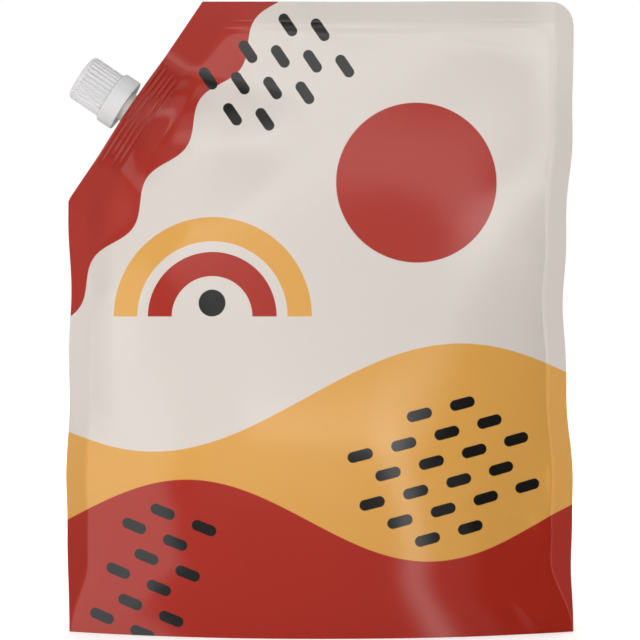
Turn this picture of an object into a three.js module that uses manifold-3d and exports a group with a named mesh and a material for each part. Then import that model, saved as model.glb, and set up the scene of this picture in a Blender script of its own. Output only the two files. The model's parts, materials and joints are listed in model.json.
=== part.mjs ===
// Stand-up refill pouch for liquid soap, with a corner spout, a ribbed screw cap and a tamper-evident ring.
// Millimetres, +Z up. The front panel faces -Y and the pouch stands on Z = 0, centred on the origin.
import * as THREE from "three";
import { LoftGeometry } from "three/addons/geometries/LoftGeometry.js";
import { mergeVertices } from "three/addons/utils/BufferGeometryUtils.js";
import Module from "manifold-3d";

const wasm = await Module();
wasm.setup();
const { lerp, smoothstep } = THREE.MathUtils;

// Pouch outline, seen from the front
const POUCH_WIDTH = 190;
const POUCH_HEIGHT = 236;
const TOP_CORNER_RADIUS = 8.5;
const CUT_ALONG_TOP = 51; // how much of the top edge the slanted corner takes
const CUT_DOWN_SIDE = 75.5; // how much of the left edge it takes
const WAIST_LEFT = 1.5; // how far the filled belly pulls each side in
const WAIST_RIGHT = 4;
const WAIST_HEIGHT = 122;
const WAIST_REACH = 88;

// Heat seals
const SIDE_SEAL = 7;
const TOP_SEAL = 8;
const CUT_SEAL = 12;
const SEAM_THICKNESS = 0.8;
const CORNER_FOLD = 27; // height over which a side seal runs out into the base corner

// Filled form
const BASE_DEPTH = 50;
const BELLY_DEPTH = 55;
const BELLY_HEIGHT = 46;
const PANEL_FULLNESS = 2.2; // 2 is a plain parabola across the panel, more is squarer
const HEADSPACE_SLACK = 1.5; // over 1 draws the upper part flatter
const CUT_RELIEF = 34; // distance over which the panel rises from the slanted seal
const DIMPLE_DEPTH = 2.6; // dents above the base corners, where flat seal meets round belly
const DIMPLE_INSET = 21;
const DIMPLE_HEIGHT = 42;
const DIMPLE_WIDTH = 13;
const DIMPLE_LENGTH = 26;

// Folded base gusset, seen from below
const SKIRT_HEIGHT = 4;
const BASE_CLEARANCE = 1.2; // the soap presses the middle of the base down to this height

// Spout, along its own axis from the edge of the film
const SPOUT_ALONG_CUT = 42.5; // from the lower end of the slanted edge
const BOAT_LENGTH = 42;
const BOAT_WIDTH = 11.6;
const BOAT_DEEP = 10;
const BOAT_TOP = 0.5; // below the film's edge
const WELD_RIBS = 5;
const WELD_RIB_PITCH = 1.9;
const WELD_RIB_THICKNESS = 0.9;
const WELD_RIB_HEIGHT = 0.35;
const FILM_WALL = 0.8;
const TIP_ROUNDING = 1.6; // softens the film's bend where it leaves the boat's tips
const NECK_DIAMETER = 11.4;
const BORE_DIAMETER = 9;
const LIP_CHAMFER = 0.4;
const STOP_FLANGE_DIAMETER = 14.8;
const STOP_FLANGE_THICKNESS = 1;

// Tamper-evident ring
const RING_STANDOFF = 1.9; // from the film's edge
const RING_HEIGHT = 6.7;
const RING_DIAMETER = 20.4;
const RING_WALL = 1.3;
const RING_SHOULDER_INSET = 1;
const RING_SHOULDER_RISE = 0.5;
const RING_LID = 1; // the inward rim that the tear bridges stood on
const RING_FOOT_CHAMFER = 0.4;
const RING_HOOK_DIAMETER = 13.6;
const RING_HOOK_RISE = 2.1;
const TEAR_SLIT = 0.3;

// Screw cap and its sealing liner
const CAP_HEIGHT = 13.1;
const CAP_DIAMETER = 18;
const CAP_BORE_DIAMETER = 13.4;
const CAP_CROWN_WALL = 1.4;
const CAP_EDGE_HEIGHT = 2.1; // the crown's edge is a quarter of an ellipse
const CAP_EDGE_INSET = 1.8;
const CAP_RIBS = 30;
const CAP_RIB_DEPTH = 0.45;
const CAP_RIB_RUNOUT = 0.8; // the grooves fade below the rounded edge
const LINER_THICKNESS = 1;

// Right-hand thread
const THREAD_PITCH = 3;
const THREAD_DEPTH = 0.7;
const THREAD_ROOT_WIDTH = 1.5;
const THREAD_CREST_WIDTH = 0.7;
const NECK_THREAD_TURNS = 2.2;
const CAP_THREAD_TURNS = 1.3;
const CAP_THREAD_DROP = 1.3; // the cap's ridge bears from below on the neck's ridge
const THREAD_FADE = 0.12; // share of a turn over which a ridge runs out

const CLEARANCE = 0.3;

// Mesh fineness
const FINE_STEP = 3.4; // column spacing beside the slanted corner
const WIDE_STEP = 7; // column spacing over the rest of the panels
const PANEL_ROWS = 9;
const GUSSET_STEPS = 8;
const CORNER_STEPS = 5; // columns in the rounded top corner
const ROUND_STEPS = 40;
const EMBED = 0.3; // how deep a joined ridge is set into its wall

// Derived outline
const HALF_WIDTH = POUCH_WIDTH / 2;
const CUT_ANGLE = Math.atan2(CUT_DOWN_SIDE, CUT_ALONG_TOP);
const CUT_LOW = new THREE.Vector2(-HALF_WIDTH, POUCH_HEIGHT - CUT_DOWN_SIDE);
const CUT_TOP_X = CUT_ALONG_TOP - HALF_WIDTH;
const SPOUT_X = CUT_LOW.x + SPOUT_ALONG_CUT * Math.cos(CUT_ANGLE);
const SPOUT_Z = CUT_LOW.y + SPOUT_ALONG_CUT * Math.sin(CUT_ANGLE);

// Derived stack along the spout's axis
const RING_TOP = RING_STANDOFF + RING_HEIGHT;
const CAP_FOOT = RING_TOP + TEAR_SLIT;
const CAP_CROWN = CAP_FOOT + CAP_HEIGHT;
const CAP_CEILING = CAP_CROWN - CAP_CROWN_WALL;
const LINER_FOOT = CAP_CEILING - CLEARANCE - LINER_THICKNESS;
const LIP_HEIGHT = LINER_FOOT - CLEARANCE;
const HOOK_TOP = RING_STANDOFF + RING_HOOK_RISE;
const STOP_FLANGE_FOOT = HOOK_TOP + CLEARANCE;
const NECK_THREAD_START = CAP_FOOT + THREAD_ROOT_WIDTH;

// Closed three.js geometry to a solid for joining and cutting. Collapsed triangles are dropped.
function solidOf(geometry) {
  const bare = new THREE.BufferGeometry();
  bare.setAttribute("position", geometry.attributes.position);
  bare.setIndex(geometry.index);
  const merged = mergeVertices(bare, 1e-4);
  const corners = merged.index.array;
  const triVerts = [];
  for (let i = 0; i < corners.length; i += 3) {
    const [a, b, c] = [corners[i], corners[i + 1], corners[i + 2]];
    if (a !== b && b !== c && c !== a) triVerts.push(a, b, c);
  }
  return new wasm.Manifold(
    new wasm.Mesh({
      numProp: 3,
      vertProperties: merged.attributes.position.array,
      triVerts: new Uint32Array(triVerts),
    }),
  );
}

// The joined or cut solid back to a three.js geometry.
function geometryOf(solid) {
  const { numProp, vertProperties, triVerts } = solid.getMesh();
  const geometry = new THREE.BufferGeometry();
  const points = new THREE.InterleavedBuffer(vertProperties, numProp);
  geometry.setAttribute("position", new THREE.InterleavedBufferAttribute(points, 3, 0));
  geometry.setIndex(new THREE.BufferAttribute(triVerts, 1));
  return geometry.toNonIndexed();
}

// A closed (radius, height) profile turned about the Z axis.
function turned(profile) {
  const points = profile.map(([radius, height]) => new THREE.Vector2(radius, height));
  const lathe = new THREE.LatheGeometry([...points, points[0]], ROUND_STEPS);
  return lathe.rotateX(Math.PI / 2);
}

// A plain shaft or hole between two heights on the Z axis.
function shaft(diameter, foot, top) {
  const length = top - foot;
  const cylinder = new THREE.CylinderGeometry(diameter / 2, diameter / 2, length, ROUND_STEPS);
  return cylinder.rotateX(Math.PI / 2).translate(0, 0, foot + length / 2);
}

// Values from the first break to the last, split so that no step is longer than the one given.
function spaced(breaks, step) {
  const values = [breaks[0]];
  for (let i = 1; i < breaks.length; i++) {
    const count = Math.max(1, Math.ceil((breaks[i] - breaks[i - 1]) / step));
    for (let k = 1; k <= count; k++) values.push(lerp(breaks[i - 1], breaks[i], k / count));
  }
  return values;
}

// How far the belly pulls a side in at a height, as a share of that side's waist.
function waistAt(z) {
  const off = Math.min(1, Math.abs(z - WAIST_HEIGHT) / WAIST_REACH);
  return (1 + Math.cos(Math.PI * off)) / 2;
}

const leftEdge = (z) => -HALF_WIDTH + WAIST_LEFT * waistAt(z);
const rightEdge = (z) => HALF_WIDTH - WAIST_RIGHT * waistAt(z);

// Distance inside the slanted edge, and distance along it from the spout's axis.
function fromCut(x, z) {
  const across = x - CUT_LOW.x;
  const up = z - CUT_LOW.y;
  return {
    inside: across * Math.sin(CUT_ANGLE) - up * Math.cos(CUT_ANGLE),
    along: across * Math.cos(CUT_ANGLE) + up * Math.sin(CUT_ANGLE) - SPOUT_ALONG_CUT,
  };
}

// Height of a row that runs below the top and slanted edges by a share of their seals.
function topRow(x, share) {
  const intoCorner = Math.max(0, x - HALF_WIDTH + TOP_CORNER_RADIUS);
  const cornerDrop = TOP_CORNER_RADIUS - Math.sqrt(TOP_CORNER_RADIUS ** 2 - intoCorner ** 2);
  const slant = CUT_LOW.y + (x - CUT_LOW.x) * Math.tan(CUT_ANGLE);
  const belowTop = POUCH_HEIGHT - cornerDrop - share * TOP_SEAL;
  return Math.min(belowTop, slant - (share * CUT_SEAL) / Math.cos(CUT_ANGLE));
}

// Half the length of the boat's lens outline, grown all round by an offset.
function boatHalfLength(grow) {
  const tipAngle = Math.atan2(2 * BOAT_WIDTH, BOAT_LENGTH);
  return BOAT_LENGTH / 2 + grow / Math.sin(tipAngle);
}

// Half the depth of the filled panels, from the soap's push between the seals.
function panelBulge(x, z) {
  const seal = SIDE_SEAL * smoothstep(z, 0, CORNER_FOLD);
  const left = leftEdge(z) + seal;
  const right = rightEdge(z) - seal;
  const across = Math.min(1, Math.abs(2 * x - left - right) / (right - left));
  const lens = 1 - across ** PANEL_FULLNESS;
  const swell = Math.sin((Math.min(1, z / BELLY_HEIGHT) * Math.PI) / 2);
  const drop = smoothstep(z, BELLY_HEIGHT, POUCH_HEIGHT - TOP_SEAL);
  const depth = lerp(BASE_DEPTH, BELLY_DEPTH, swell) * (1 - drop) ** HEADSPACE_SLACK;
  const cutRise = smoothstep(fromCut(x, z).inside, CUT_SEAL, CUT_SEAL + CUT_RELIEF);
  const dimpleAcross = (HALF_WIDTH - DIMPLE_INSET - Math.abs(x)) / DIMPLE_WIDTH;
  const dimpleUp = (z - DIMPLE_HEIGHT) / DIMPLE_LENGTH;
  const dimple = DIMPLE_DEPTH * Math.exp(-(dimpleAcross ** 2) - dimpleUp ** 2);
  return Math.max(0, (depth / 2) * lens * cutRise - dimple * lens);
}

// Half the depth where the film is drawn over the spout's boat, running out past its tips and inwards.
function spoutBulge(x, z) {
  const { inside, along } = fromCut(x, z);
  const grow = CLEARANCE + FILM_WALL;
  const lens = (BOAT_WIDTH / 2 + grow) * (1 - (along / boatHalfLength(grow)) ** 2);
  const covered = BOAT_DEEP + grow;
  const fade = 1 - smoothstep(inside, covered, covered + CUT_RELIEF);
  return ((lens + Math.hypot(lens, TIP_ROUNDING)) / 2) * fade;
}

function halfDepth(x, z) {
  const joined = (panelBulge(x, z) ** 4 + spoutBulge(x, z) ** 4) ** (1 / 4);
  return Math.max(SEAM_THICKNESS / 2, joined);
}

// Seal shares of the rows below the top edge, and heights of the rows above the base.
const TOP_SHARES = [1.9, 1.35, 1, 0.7, 0.35, 0];
const BASE_ROWS = [0, SKIRT_HEIGHT, CORNER_FOLD * 0.35, CORNER_FOLD * 0.65, CORNER_FOLD];

// One closed ring round the pouch at a share of its width: down the front, under the base, up the back.
function pouchSection(nominalX) {
  const share = (nominalX + HALF_WIDTH) / POUCH_WIDTH;
  const lowest = BASE_ROWS[BASE_ROWS.length - 1];
  const highest = topRow(nominalX, TOP_SHARES[0]);
  const heights = [...BASE_ROWS];
  for (let k = 1; k < PANEL_ROWS; k++) heights.push(lerp(lowest, highest, k / PANEL_ROWS));
  for (const seal of TOP_SHARES) heights.push(topRow(nominalX, seal));
  const panel = heights.map((z) => {
    const x = lerp(leftEdge(z), rightEdge(z), share);
    return new THREE.Vector3(x, halfDepth(x, z), z);
  });
  const front = panel.map((p) => new THREE.Vector3(p.x, -p.y, p.z)).reverse();
  return [...front, ...gussetSection(panel[0].x, panel[0].y), ...panel];
}

// The underside between the two base seams: up the skirt, then the base film that the soap presses down.
function gussetSection(x, outer) {
  const inner = Math.max(0, outer - SEAM_THICKNESS);
  const open = Math.min(1, inner / SKIRT_HEIGHT);
  const film = [];
  for (let k = 0; k <= GUSSET_STEPS; k++) {
    const y = lerp(-inner, inner, k / GUSSET_STEPS);
    const sag = inner > 0 ? 1 - (y / inner) ** 2 : 0;
    film.push(new THREE.Vector3(x, y, open * lerp(SKIRT_HEIGHT, BASE_CLEARANCE, sag)));
  }
  return [new THREE.Vector3(x, -inner, 0), ...film, new THREE.Vector3(x, inner, 0)];
}

// The pouch as one loft from the left edge to the right, each end closed on the film's middle.
function pouchLoft() {
  const innerLeft = -HALF_WIDTH + SIDE_SEAL;
  const innerRight = HALF_WIDTH - SIDE_SEAL;
  const besideCut = spaced([-HALF_WIDTH, innerLeft, CUT_TOP_X], FINE_STEP);
  const rest = spaced([CUT_TOP_X, innerRight - WIDE_STEP / 2, innerRight], WIDE_STEP).slice(1);
  const corner = [];
  for (let k = 1; k <= CORNER_STEPS; k++) {
    const bend = 1 - Math.sin(((k / CORNER_STEPS) * Math.PI) / 2);
    corner.push(HALF_WIDTH - TOP_CORNER_RADIUS * bend);
  }
  const columns = [...besideCut, ...rest, ...corner].sort((a, b) => a - b);
  const sections = columns.map(pouchSection);
  const closed = (section) => section.map((p) => new THREE.Vector3(p.x, 0, p.z));
  return new LoftGeometry([closed(sections[0]), ...sections, closed(sections[sections.length - 1])]);
}

// The boat's lens outline, pushed through a span of the spout's axis.
function boatSlab(grow, foot, top) {
  const half = boatHalfLength(grow);
  const bow = BOAT_WIDTH + 2 * grow; // the control point of a parabola lies at twice its height
  const outline = new THREE.Shape();
  outline.moveTo(-half, 0);
  outline.quadraticCurveTo(0, -bow, half, 0);
  outline.quadraticCurveTo(0, bow, -half, 0);
  const slab = new THREE.ExtrudeGeometry(outline, {
    depth: top - foot,
    bevelEnabled: false,
    curveSegments: ROUND_STEPS / 2,
  });
  return slab.translate(0, 0, foot);
}

// A helical ridge on a wall of the given radius. It starts and ends by fading into the wall.
function threadRidge(wallRadius, inward, startTurn, turns, heightAtZero) {
  const side = inward ? -1 : 1;
  const steps = Math.ceil(turns * ROUND_STEPS);
  const sections = [];
  for (let i = 0; i <= steps; i++) {
    const turn = startTurn + (turns * i) / steps;
    const fromEnd = (Math.min(i, steps - i) / steps) * turns;
    const rise = THREAD_DEPTH * smoothstep(fromEnd, -THREAD_FADE / 4, THREAD_FADE);
    const root = wallRadius - side * EMBED;
    const crest = wallRadius + side * rise;
    const height = heightAtZero + THREAD_PITCH * turn;
    const corners = [
      [root, -THREAD_ROOT_WIDTH / 2],
      [root, THREAD_ROOT_WIDTH / 2],
      [crest, THREAD_CREST_WIDTH / 2],
      [crest, -THREAD_CREST_WIDTH / 2],
    ];
    if (inward) corners.reverse();
    const angle = turn * 2 * Math.PI;
    sections.push(
      corners.map(([r, z]) => new THREE.Vector3(r * Math.cos(angle), r * Math.sin(angle), height + z)),
    );
  }
  return new LoftGeometry(sections, { capStart: true, capEnd: true });
}

// Spout: welded boat with ribs, neck, stop flange, thread and a through bore.
function spoutSolid() {
  const neck = NECK_DIAMETER / 2;
  const flange = STOP_FLANGE_DIAMETER / 2;
  const flangeTop = STOP_FLANGE_FOOT + STOP_FLANGE_THICKNESS;
  let spout = solidOf(
    turned([
      [0, -BOAT_DEEP],
      [neck, -BOAT_DEEP],
      [neck, STOP_FLANGE_FOOT],
      [flange, STOP_FLANGE_FOOT],
      [flange, flangeTop],
      [neck, flangeTop],
      [neck, LIP_HEIGHT - LIP_CHAMFER],
      [neck - LIP_CHAMFER, LIP_HEIGHT],
      [0, LIP_HEIGHT],
    ]),
  );
  spout = spout.add(solidOf(boatSlab(-WELD_RIB_HEIGHT, -BOAT_DEEP, -BOAT_TOP)));
  for (let k = 0; k < WELD_RIBS; k++) {
    const top = -BOAT_TOP - k * WELD_RIB_PITCH;
    spout = spout.add(solidOf(boatSlab(0, top - WELD_RIB_THICKNESS, top)));
  }
  spout = spout.add(solidOf(threadRidge(neck, false, 0, NECK_THREAD_TURNS, NECK_THREAD_START)));
  const past = BOAT_DEEP + EMBED;
  return spout.subtract(solidOf(shaft(BORE_DIAMETER, -past, LIP_HEIGHT + EMBED)));
}

// Tamper-evident ring: a shouldered band with a hook folded in under the neck's stop flange.
function ringSolid() {
  const outer = RING_DIAMETER / 2;
  const inner = outer - RING_WALL;
  const hook = RING_HOOK_DIAMETER / 2;
  const flange = STOP_FLANGE_DIAMETER / 2;
  const mouth = Math.max(CAP_BORE_DIAMETER / 2, flange + CLEARANCE);
  const lidFoot = RING_TOP - RING_LID;
  return solidOf(
    turned([
      [inner - RING_FOOT_CHAMFER, RING_STANDOFF],
      [outer - RING_FOOT_CHAMFER, RING_STANDOFF],
      [outer, RING_STANDOFF + RING_FOOT_CHAMFER],
      [outer, RING_TOP - RING_SHOULDER_RISE],
      [outer - RING_SHOULDER_INSET, RING_TOP],
      [mouth, RING_TOP],
      [mouth, lidFoot],
      [inner, lidFoot],
      [inner, HOOK_TOP - RING_WALL / 2],
      [hook, HOOK_TOP],
      [hook, HOOK_TOP - RING_WALL / 2],
    ]),
  );
}

// One ring of the cap's ribbed outside: crest, groove, groove, crest for every rib.
function ribbedRing(radius, depth, height) {
  const points = [];
  for (let rib = 0; rib < CAP_RIBS; rib++) {
    const radii = [radius, radius - depth, radius - depth, radius];
    radii.forEach((r, k) => {
      const angle = ((rib + k / 4) / CAP_RIBS) * 2 * Math.PI;
      points.push(new THREE.Vector3(r * Math.cos(angle), r * Math.sin(angle), height));
    });
  }
  return points;
}

// Screw cap: ribbed shell with a rounded crown edge, a plain bore and an inner thread.
function capSolid() {
  const outer = CAP_DIAMETER / 2;
  const edgeFoot = CAP_CROWN - CAP_EDGE_HEIGHT;
  const rings = [
    ribbedRing(outer, CAP_RIB_DEPTH, CAP_FOOT),
    ribbedRing(outer, CAP_RIB_DEPTH, edgeFoot - CAP_RIB_RUNOUT),
    ribbedRing(outer, 0, edgeFoot),
  ];
  for (const turn of [0.35, 0.7, 1]) {
    const angle = (turn * Math.PI) / 2;
    const radius = outer - CAP_EDGE_INSET * (1 - Math.cos(angle));
    rings.push(ribbedRing(radius, 0, edgeFoot + CAP_EDGE_HEIGHT * Math.sin(angle)));
  }
  const shell = solidOf(new LoftGeometry(rings, { capStart: true, capEnd: true }));
  const hollow = solidOf(shaft(CAP_BORE_DIAMETER, CAP_FOOT - EMBED, CAP_CEILING));
  const startTurn = (CAP_THREAD_DROP + THREAD_ROOT_WIDTH / 2) / THREAD_PITCH;
  const thread = threadRidge(
    CAP_BORE_DIAMETER / 2,
    true,
    startTurn,
    CAP_THREAD_TURNS,
    NECK_THREAD_START - CAP_THREAD_DROP,
  );
  return shell.subtract(hollow).add(solidOf(thread));
}

// Sealing liner: a soft disc held in the cap's crown, pressed on the neck's lip.
function linerSolid() {
  return solidOf(shaft(CAP_BORE_DIAMETER - 2 * CLEARANCE, LINER_FOOT, LINER_FOOT + LINER_THICKNESS));
}

function named(name, solid, material) {
  const mesh = new THREE.Mesh(geometryOf(solid), material);
  mesh.name = name;
  return mesh;
}

// The spout's own frame: Z out along its axis, X up along the slanted edge.
const closure = new THREE.Group();
closure.position.set(SPOUT_X, 0, SPOUT_Z);
closure.rotation.y = -CUT_ANGLE;
closure.updateMatrix();

// The film wraps the boat, so the pouch has a pocket of the boat's shape at the slanted edge.
function pouchSolid() {
  const pocket = boatSlab(CLEARANCE, -BOAT_DEEP - CLEARANCE, BOAT_DEEP).applyMatrix4(closure.matrix);
  return solidOf(pouchLoft()).subtract(solidOf(pocket));
}

const film = new THREE.MeshStandardMaterial({ color: 0xe1dad4, roughness: 0.38, metalness: 0 });
const naturalPlastic = new THREE.MeshStandardMaterial({ color: 0xd3d5d4, roughness: 0.4, metalness: 0 });
const whitePlastic = new THREE.MeshStandardMaterial({ color: 0xdddbdc, roughness: 0.45, metalness: 0 });
const foam = new THREE.MeshStandardMaterial({ color: 0xf0f0ec, roughness: 0.8, metalness: 0 });

closure.add(named("spout", spoutSolid(), naturalPlastic));
closure.add(named("tamper_ring", ringSolid(), whitePlastic));
closure.add(named("sealing_liner", linerSolid(), foam));
closure.add(named("screw_cap", capSolid(), whitePlastic));

const refillPack = new THREE.Group();
refillPack.add(named("pouch", pouchSolid(), film));
refillPack.add(closure);

export default refillPack;
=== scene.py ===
"""Looks of a stand-up soap refill pouch with a corner spout, a tamper-evident ring and a screw cap.

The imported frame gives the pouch's box and the closure's axis, and everything else is worked out from them and
from the sizes that each class holds. Lengths are millimetres until a mesh, a lamp or the camera is made.
"""

import json
import logging
import math
from abc import ABC, abstractmethod
from dataclasses import dataclass, field, replace
from enum import Enum
from typing import Any, Sequence

import bmesh
import bpy
import numpy as np
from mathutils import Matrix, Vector


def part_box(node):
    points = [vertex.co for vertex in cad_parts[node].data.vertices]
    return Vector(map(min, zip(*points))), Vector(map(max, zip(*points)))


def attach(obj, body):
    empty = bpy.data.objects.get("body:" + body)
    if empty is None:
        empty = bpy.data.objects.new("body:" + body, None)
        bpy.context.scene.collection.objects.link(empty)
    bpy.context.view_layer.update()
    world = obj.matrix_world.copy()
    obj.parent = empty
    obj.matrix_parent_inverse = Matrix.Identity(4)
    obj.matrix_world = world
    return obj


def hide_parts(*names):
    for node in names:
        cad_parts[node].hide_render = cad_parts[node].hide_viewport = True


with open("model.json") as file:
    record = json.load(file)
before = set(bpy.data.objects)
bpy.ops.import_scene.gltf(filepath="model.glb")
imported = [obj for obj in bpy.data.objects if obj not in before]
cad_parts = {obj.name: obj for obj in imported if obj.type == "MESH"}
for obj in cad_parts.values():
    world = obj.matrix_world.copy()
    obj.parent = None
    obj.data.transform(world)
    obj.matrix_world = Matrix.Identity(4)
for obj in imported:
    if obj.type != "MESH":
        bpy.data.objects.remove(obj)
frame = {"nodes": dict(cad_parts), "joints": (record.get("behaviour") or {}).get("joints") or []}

LOG = logging.getLogger("refill_pack")
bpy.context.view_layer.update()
MM = 0.001
MERGE_DISTANCE = 1e-6
TINY = 1e-9
HOOK_GAP = 0.3
PHASES = (0.0, 6.3)

Array = np.ndarray
Pair = tuple[float, float]
Socket = bpy.types.NodeSocket
Tree = bpy.types.NodeTree


class Side(Enum):
    """The two panels of the pouch, by the way each faces along Y."""

    FRONT = -1.0
    BACK = 1.0


class Ink(Enum):
    """Printing inks on the film, as sRGB hex values."""

    CREAM = "#D8D0C8"
    AMBER = "#DCA24F"
    BRICK = "#A7281A"
    CHARCOAL = "#191817"


def linear(colour: str) -> tuple[float, float, float, float]:
    """Turns an sRGB hex value to linear RGBA.

    Args:
        colour: The colour as "#RRGGBB".

    Returns:
        Linear red, green, blue and an alpha of 1.
    """
    channels = [int(colour[i : i + 2], 16) / 255 for i in (1, 3, 5)]
    red, green, blue = (c / 12.92 if c <= 0.04045 else ((c + 0.055) / 1.055) ** 2.4 for c in channels)
    return red, green, blue, 1.0


def add_node(
    tree: Tree,
    kind: str,
    settings: dict[str, Any] | None = None,
    inputs: dict[int | str, Any] | None = None,
) -> bpy.types.Node:
    """Adds one shader node with its settings and links.

    Args:
        tree: The node tree that gets the node.
        kind: Blender's name for the node's type.
        settings: Properties of the node and their values.
        inputs: Input sockets, by place or name, each with a value or with the socket that feeds it.

    Returns:
        The new node.
    """
    node = tree.nodes.new(kind)
    for name, value in (settings or {}).items():
        setattr(node, name, value)
    for key, value in (inputs or {}).items():
        if isinstance(value, Socket):
            tree.links.new(value, node.inputs[key])
        else:
            node.inputs[key].default_value = value
    return node


def maths(tree: Tree, operation: str, *values: float | Socket) -> Socket:
    """Adds one node that does a sum."""
    return add_node(tree, "ShaderNodeMath", {"operation": operation}, dict(enumerate(values))).outputs[0]


def vector_maths(tree: Tree, operation: str, *values: Any) -> Socket:
    """Adds one node that does a sum with vectors.

    Args:
        tree: The node tree that gets the node.
        operation: Blender's name for the sum.
        values: Vectors, or the sockets that give them, in order. Of SCALE, the second is a number.

    Returns:
        The result's socket, which holds a number where the sum measures a length.
    """
    inputs: dict[int | str, Any] = dict(enumerate(values))
    if operation == "SCALE":
        inputs["Scale"] = inputs.pop(1)
    node = add_node(tree, "ShaderNodeVectorMath", {"operation": operation}, inputs)
    return node.outputs["Value" if operation in ("DISTANCE", "LENGTH") else "Vector"]


def remapped(
    tree: Tree, value: Socket, given: Pair = (0.0, 1.0), wanted: Pair = (0.0, 1.0), curve: str = "LINEAR"
) -> Socket:
    """Adds one node that maps a span of values to another.

    Args:
        tree: The node tree that gets the node.
        value: What is mapped.
        given: The values at the span's ends.
        wanted: What they become.
        curve: Blender's name for the way from one to the other.

    Returns:
        The result's socket.
    """
    limits = {"Value": value, "From Min": given[0], "From Max": given[1]}
    limits.update({"To Min": wanted[0], "To Max": wanted[1]})
    return add_node(tree, "ShaderNodeMapRange", {"interpolation_type": curve}, limits).outputs[0]


def noise(tree: Tree, place: Socket, size_mm: float, detail: float) -> Socket:
    """Adds a soft random pattern.

    Args:
        tree: The node tree that gets the node.
        place: The piece's own coordinates, in metres.
        size_mm: About how far apart its swings are.
        detail: How many finer layers it has.

    Returns:
        The pattern's socket.
    """
    pattern = {"Vector": place, "Scale": 1 / (size_mm * MM), "Detail": detail}
    return add_node(tree, "ShaderNodeTexNoise", None, pattern).outputs["Fac"]


def bumps(tree: Tree, pattern: Socket, height_mm: float) -> Socket:
    """Adds the fine relief of a pattern and gives its normal."""
    relief = {"Height": pattern, "Strength": 1.0, "Distance": height_mm * MM}
    return add_node(tree, "ShaderNodeBump", None, relief).outputs[0]


def new_material(name: str) -> tuple[bpy.types.Material, bpy.types.Node]:
    """Makes a node material with only an output node.

    Args:
        name: The material's name.

    Returns:
        The material and its output node.
    """
    material = bpy.data.materials.new(name)
    material.use_nodes = True
    material.node_tree.nodes.clear()
    return material, add_node(material.node_tree, "ShaderNodeOutputMaterial")


def surfaced(tree: Tree, output: bpy.types.Node, surface: dict[int | str, Any]) -> None:
    """Gives a material its surface, from the values or sockets of the shader's inputs."""
    shader = add_node(tree, "ShaderNodeBsdfPrincipled", None, surface)
    tree.links.new(shader.outputs[0], output.inputs["Surface"])


def smoothstep(value: Array, low: float, high: float) -> Array:
    """Rises smoothly from 0 at low to 1 at high."""
    t = np.clip((value - low) / (high - low), 0.0, 1.0)
    return t * t * (3 - 2 * t)


def ridge(distance: Array, width: float) -> Array:
    """A rounded ridge of height 1 where the distance is 0, and about the given width to each side."""
    return np.exp(-((distance / width) ** 2))


def uneven(along: Array, evenness: float, pitches: Pair, phases: Array) -> Array:
    """A strength of about the evenness that waxes and wanes along a line by two waves."""
    first, second = (np.sin(along / pitch + phase) for pitch, phase in zip(pitches, phases))
    return evenness + (1 - evenness) * first * second


def stretches(*spans: tuple[float, float, float]) -> Array:
    """Joins runs of evenly spaced values.

    Args:
        spans: Start, stop and largest step of each run, where each run starts at the last one's stop.

    Returns:
        The values from the first start to the last stop.
    """
    values = [spans[0][0]]
    for start, stop, step in spans:
        count = max(1, math.ceil(abs(stop - start) / step))
        values.extend(start + (stop - start) * k / count for k in range(1, count + 1))
    return np.array(values)


def filleted(
    corners: Sequence[tuple[float, float, float]], closed: bool, steps: int = 5, most: float = 0.45
) -> Array:
    """Rounds the corners of a profile.

    Args:
        corners: Radius, height and fillet size of each corner.
        closed: Whether the last corner joins the first.
        steps: Segments in each rounded corner.
        most: The largest share of a side that a corner may take up.

    Returns:
        Radius and height of each point of the rounded profile.
    """
    places = np.array([c[:2] for c in corners])
    points = []
    for i, (_, _, size) in enumerate(corners):
        at_end = not closed and i in (0, len(corners) - 1)
        if at_end or size == 0:
            points.append(places[i])
            continue
        before = places[i - 1] - places[i]
        after = places[(i + 1) % len(corners)] - places[i]
        reach = min(size, most * np.linalg.norm(before), most * np.linalg.norm(after))
        start = places[i] + before / np.linalg.norm(before) * reach
        stop = places[i] + after / np.linalg.norm(after) * reach
        for t in np.linspace(0, 1, steps + 1):
            points.append((1 - t) ** 2 * start + 2 * t * (1 - t) * places[i] + t * t * stop)
    return np.array(points)


def subdivided(profile: Array, step: float, closed: bool) -> Array:
    """Adds points to a profile.

    Args:
        profile: Radius and height of each point.
        step: The longest that a segment may be.
        closed: Whether the last point joins the first.

    Returns:
        Radius and height of the old and new points.
    """
    points = [profile[0]]
    for start, stop in zip(profile, np.roll(profile, -1, axis=0) if closed else profile[1:]):
        count = max(1, math.ceil(np.linalg.norm(stop - start) / step))
        points.extend(start + (stop - start) * k / count for k in range(1, count + 1))
    return np.array(points[:-1] if closed else points)


def skin_faces(rings: int, points: int, wrap_rings: bool, wrap_points: bool) -> Array:
    """Quads of a grid of rings.

    Args:
        rings: How many rings the grid has.
        points: Points in each ring, which lie one after another.
        wrap_rings: Whether the last ring joins the first.
        wrap_points: Whether each ring's last point joins its first.

    Returns:
        Four point numbers for each quad.
    """
    i = np.arange(rings if wrap_rings else rings - 1)[:, None]
    j = np.arange(points if wrap_points else points - 1)[None, :]
    here, there = i * points, ((i + 1) % rings) * points
    ahead = (j + 1) % points
    quads = np.stack([here + j, here + ahead, there + ahead, there + j], axis=-1)
    return quads.reshape(-1, 4)


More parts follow.
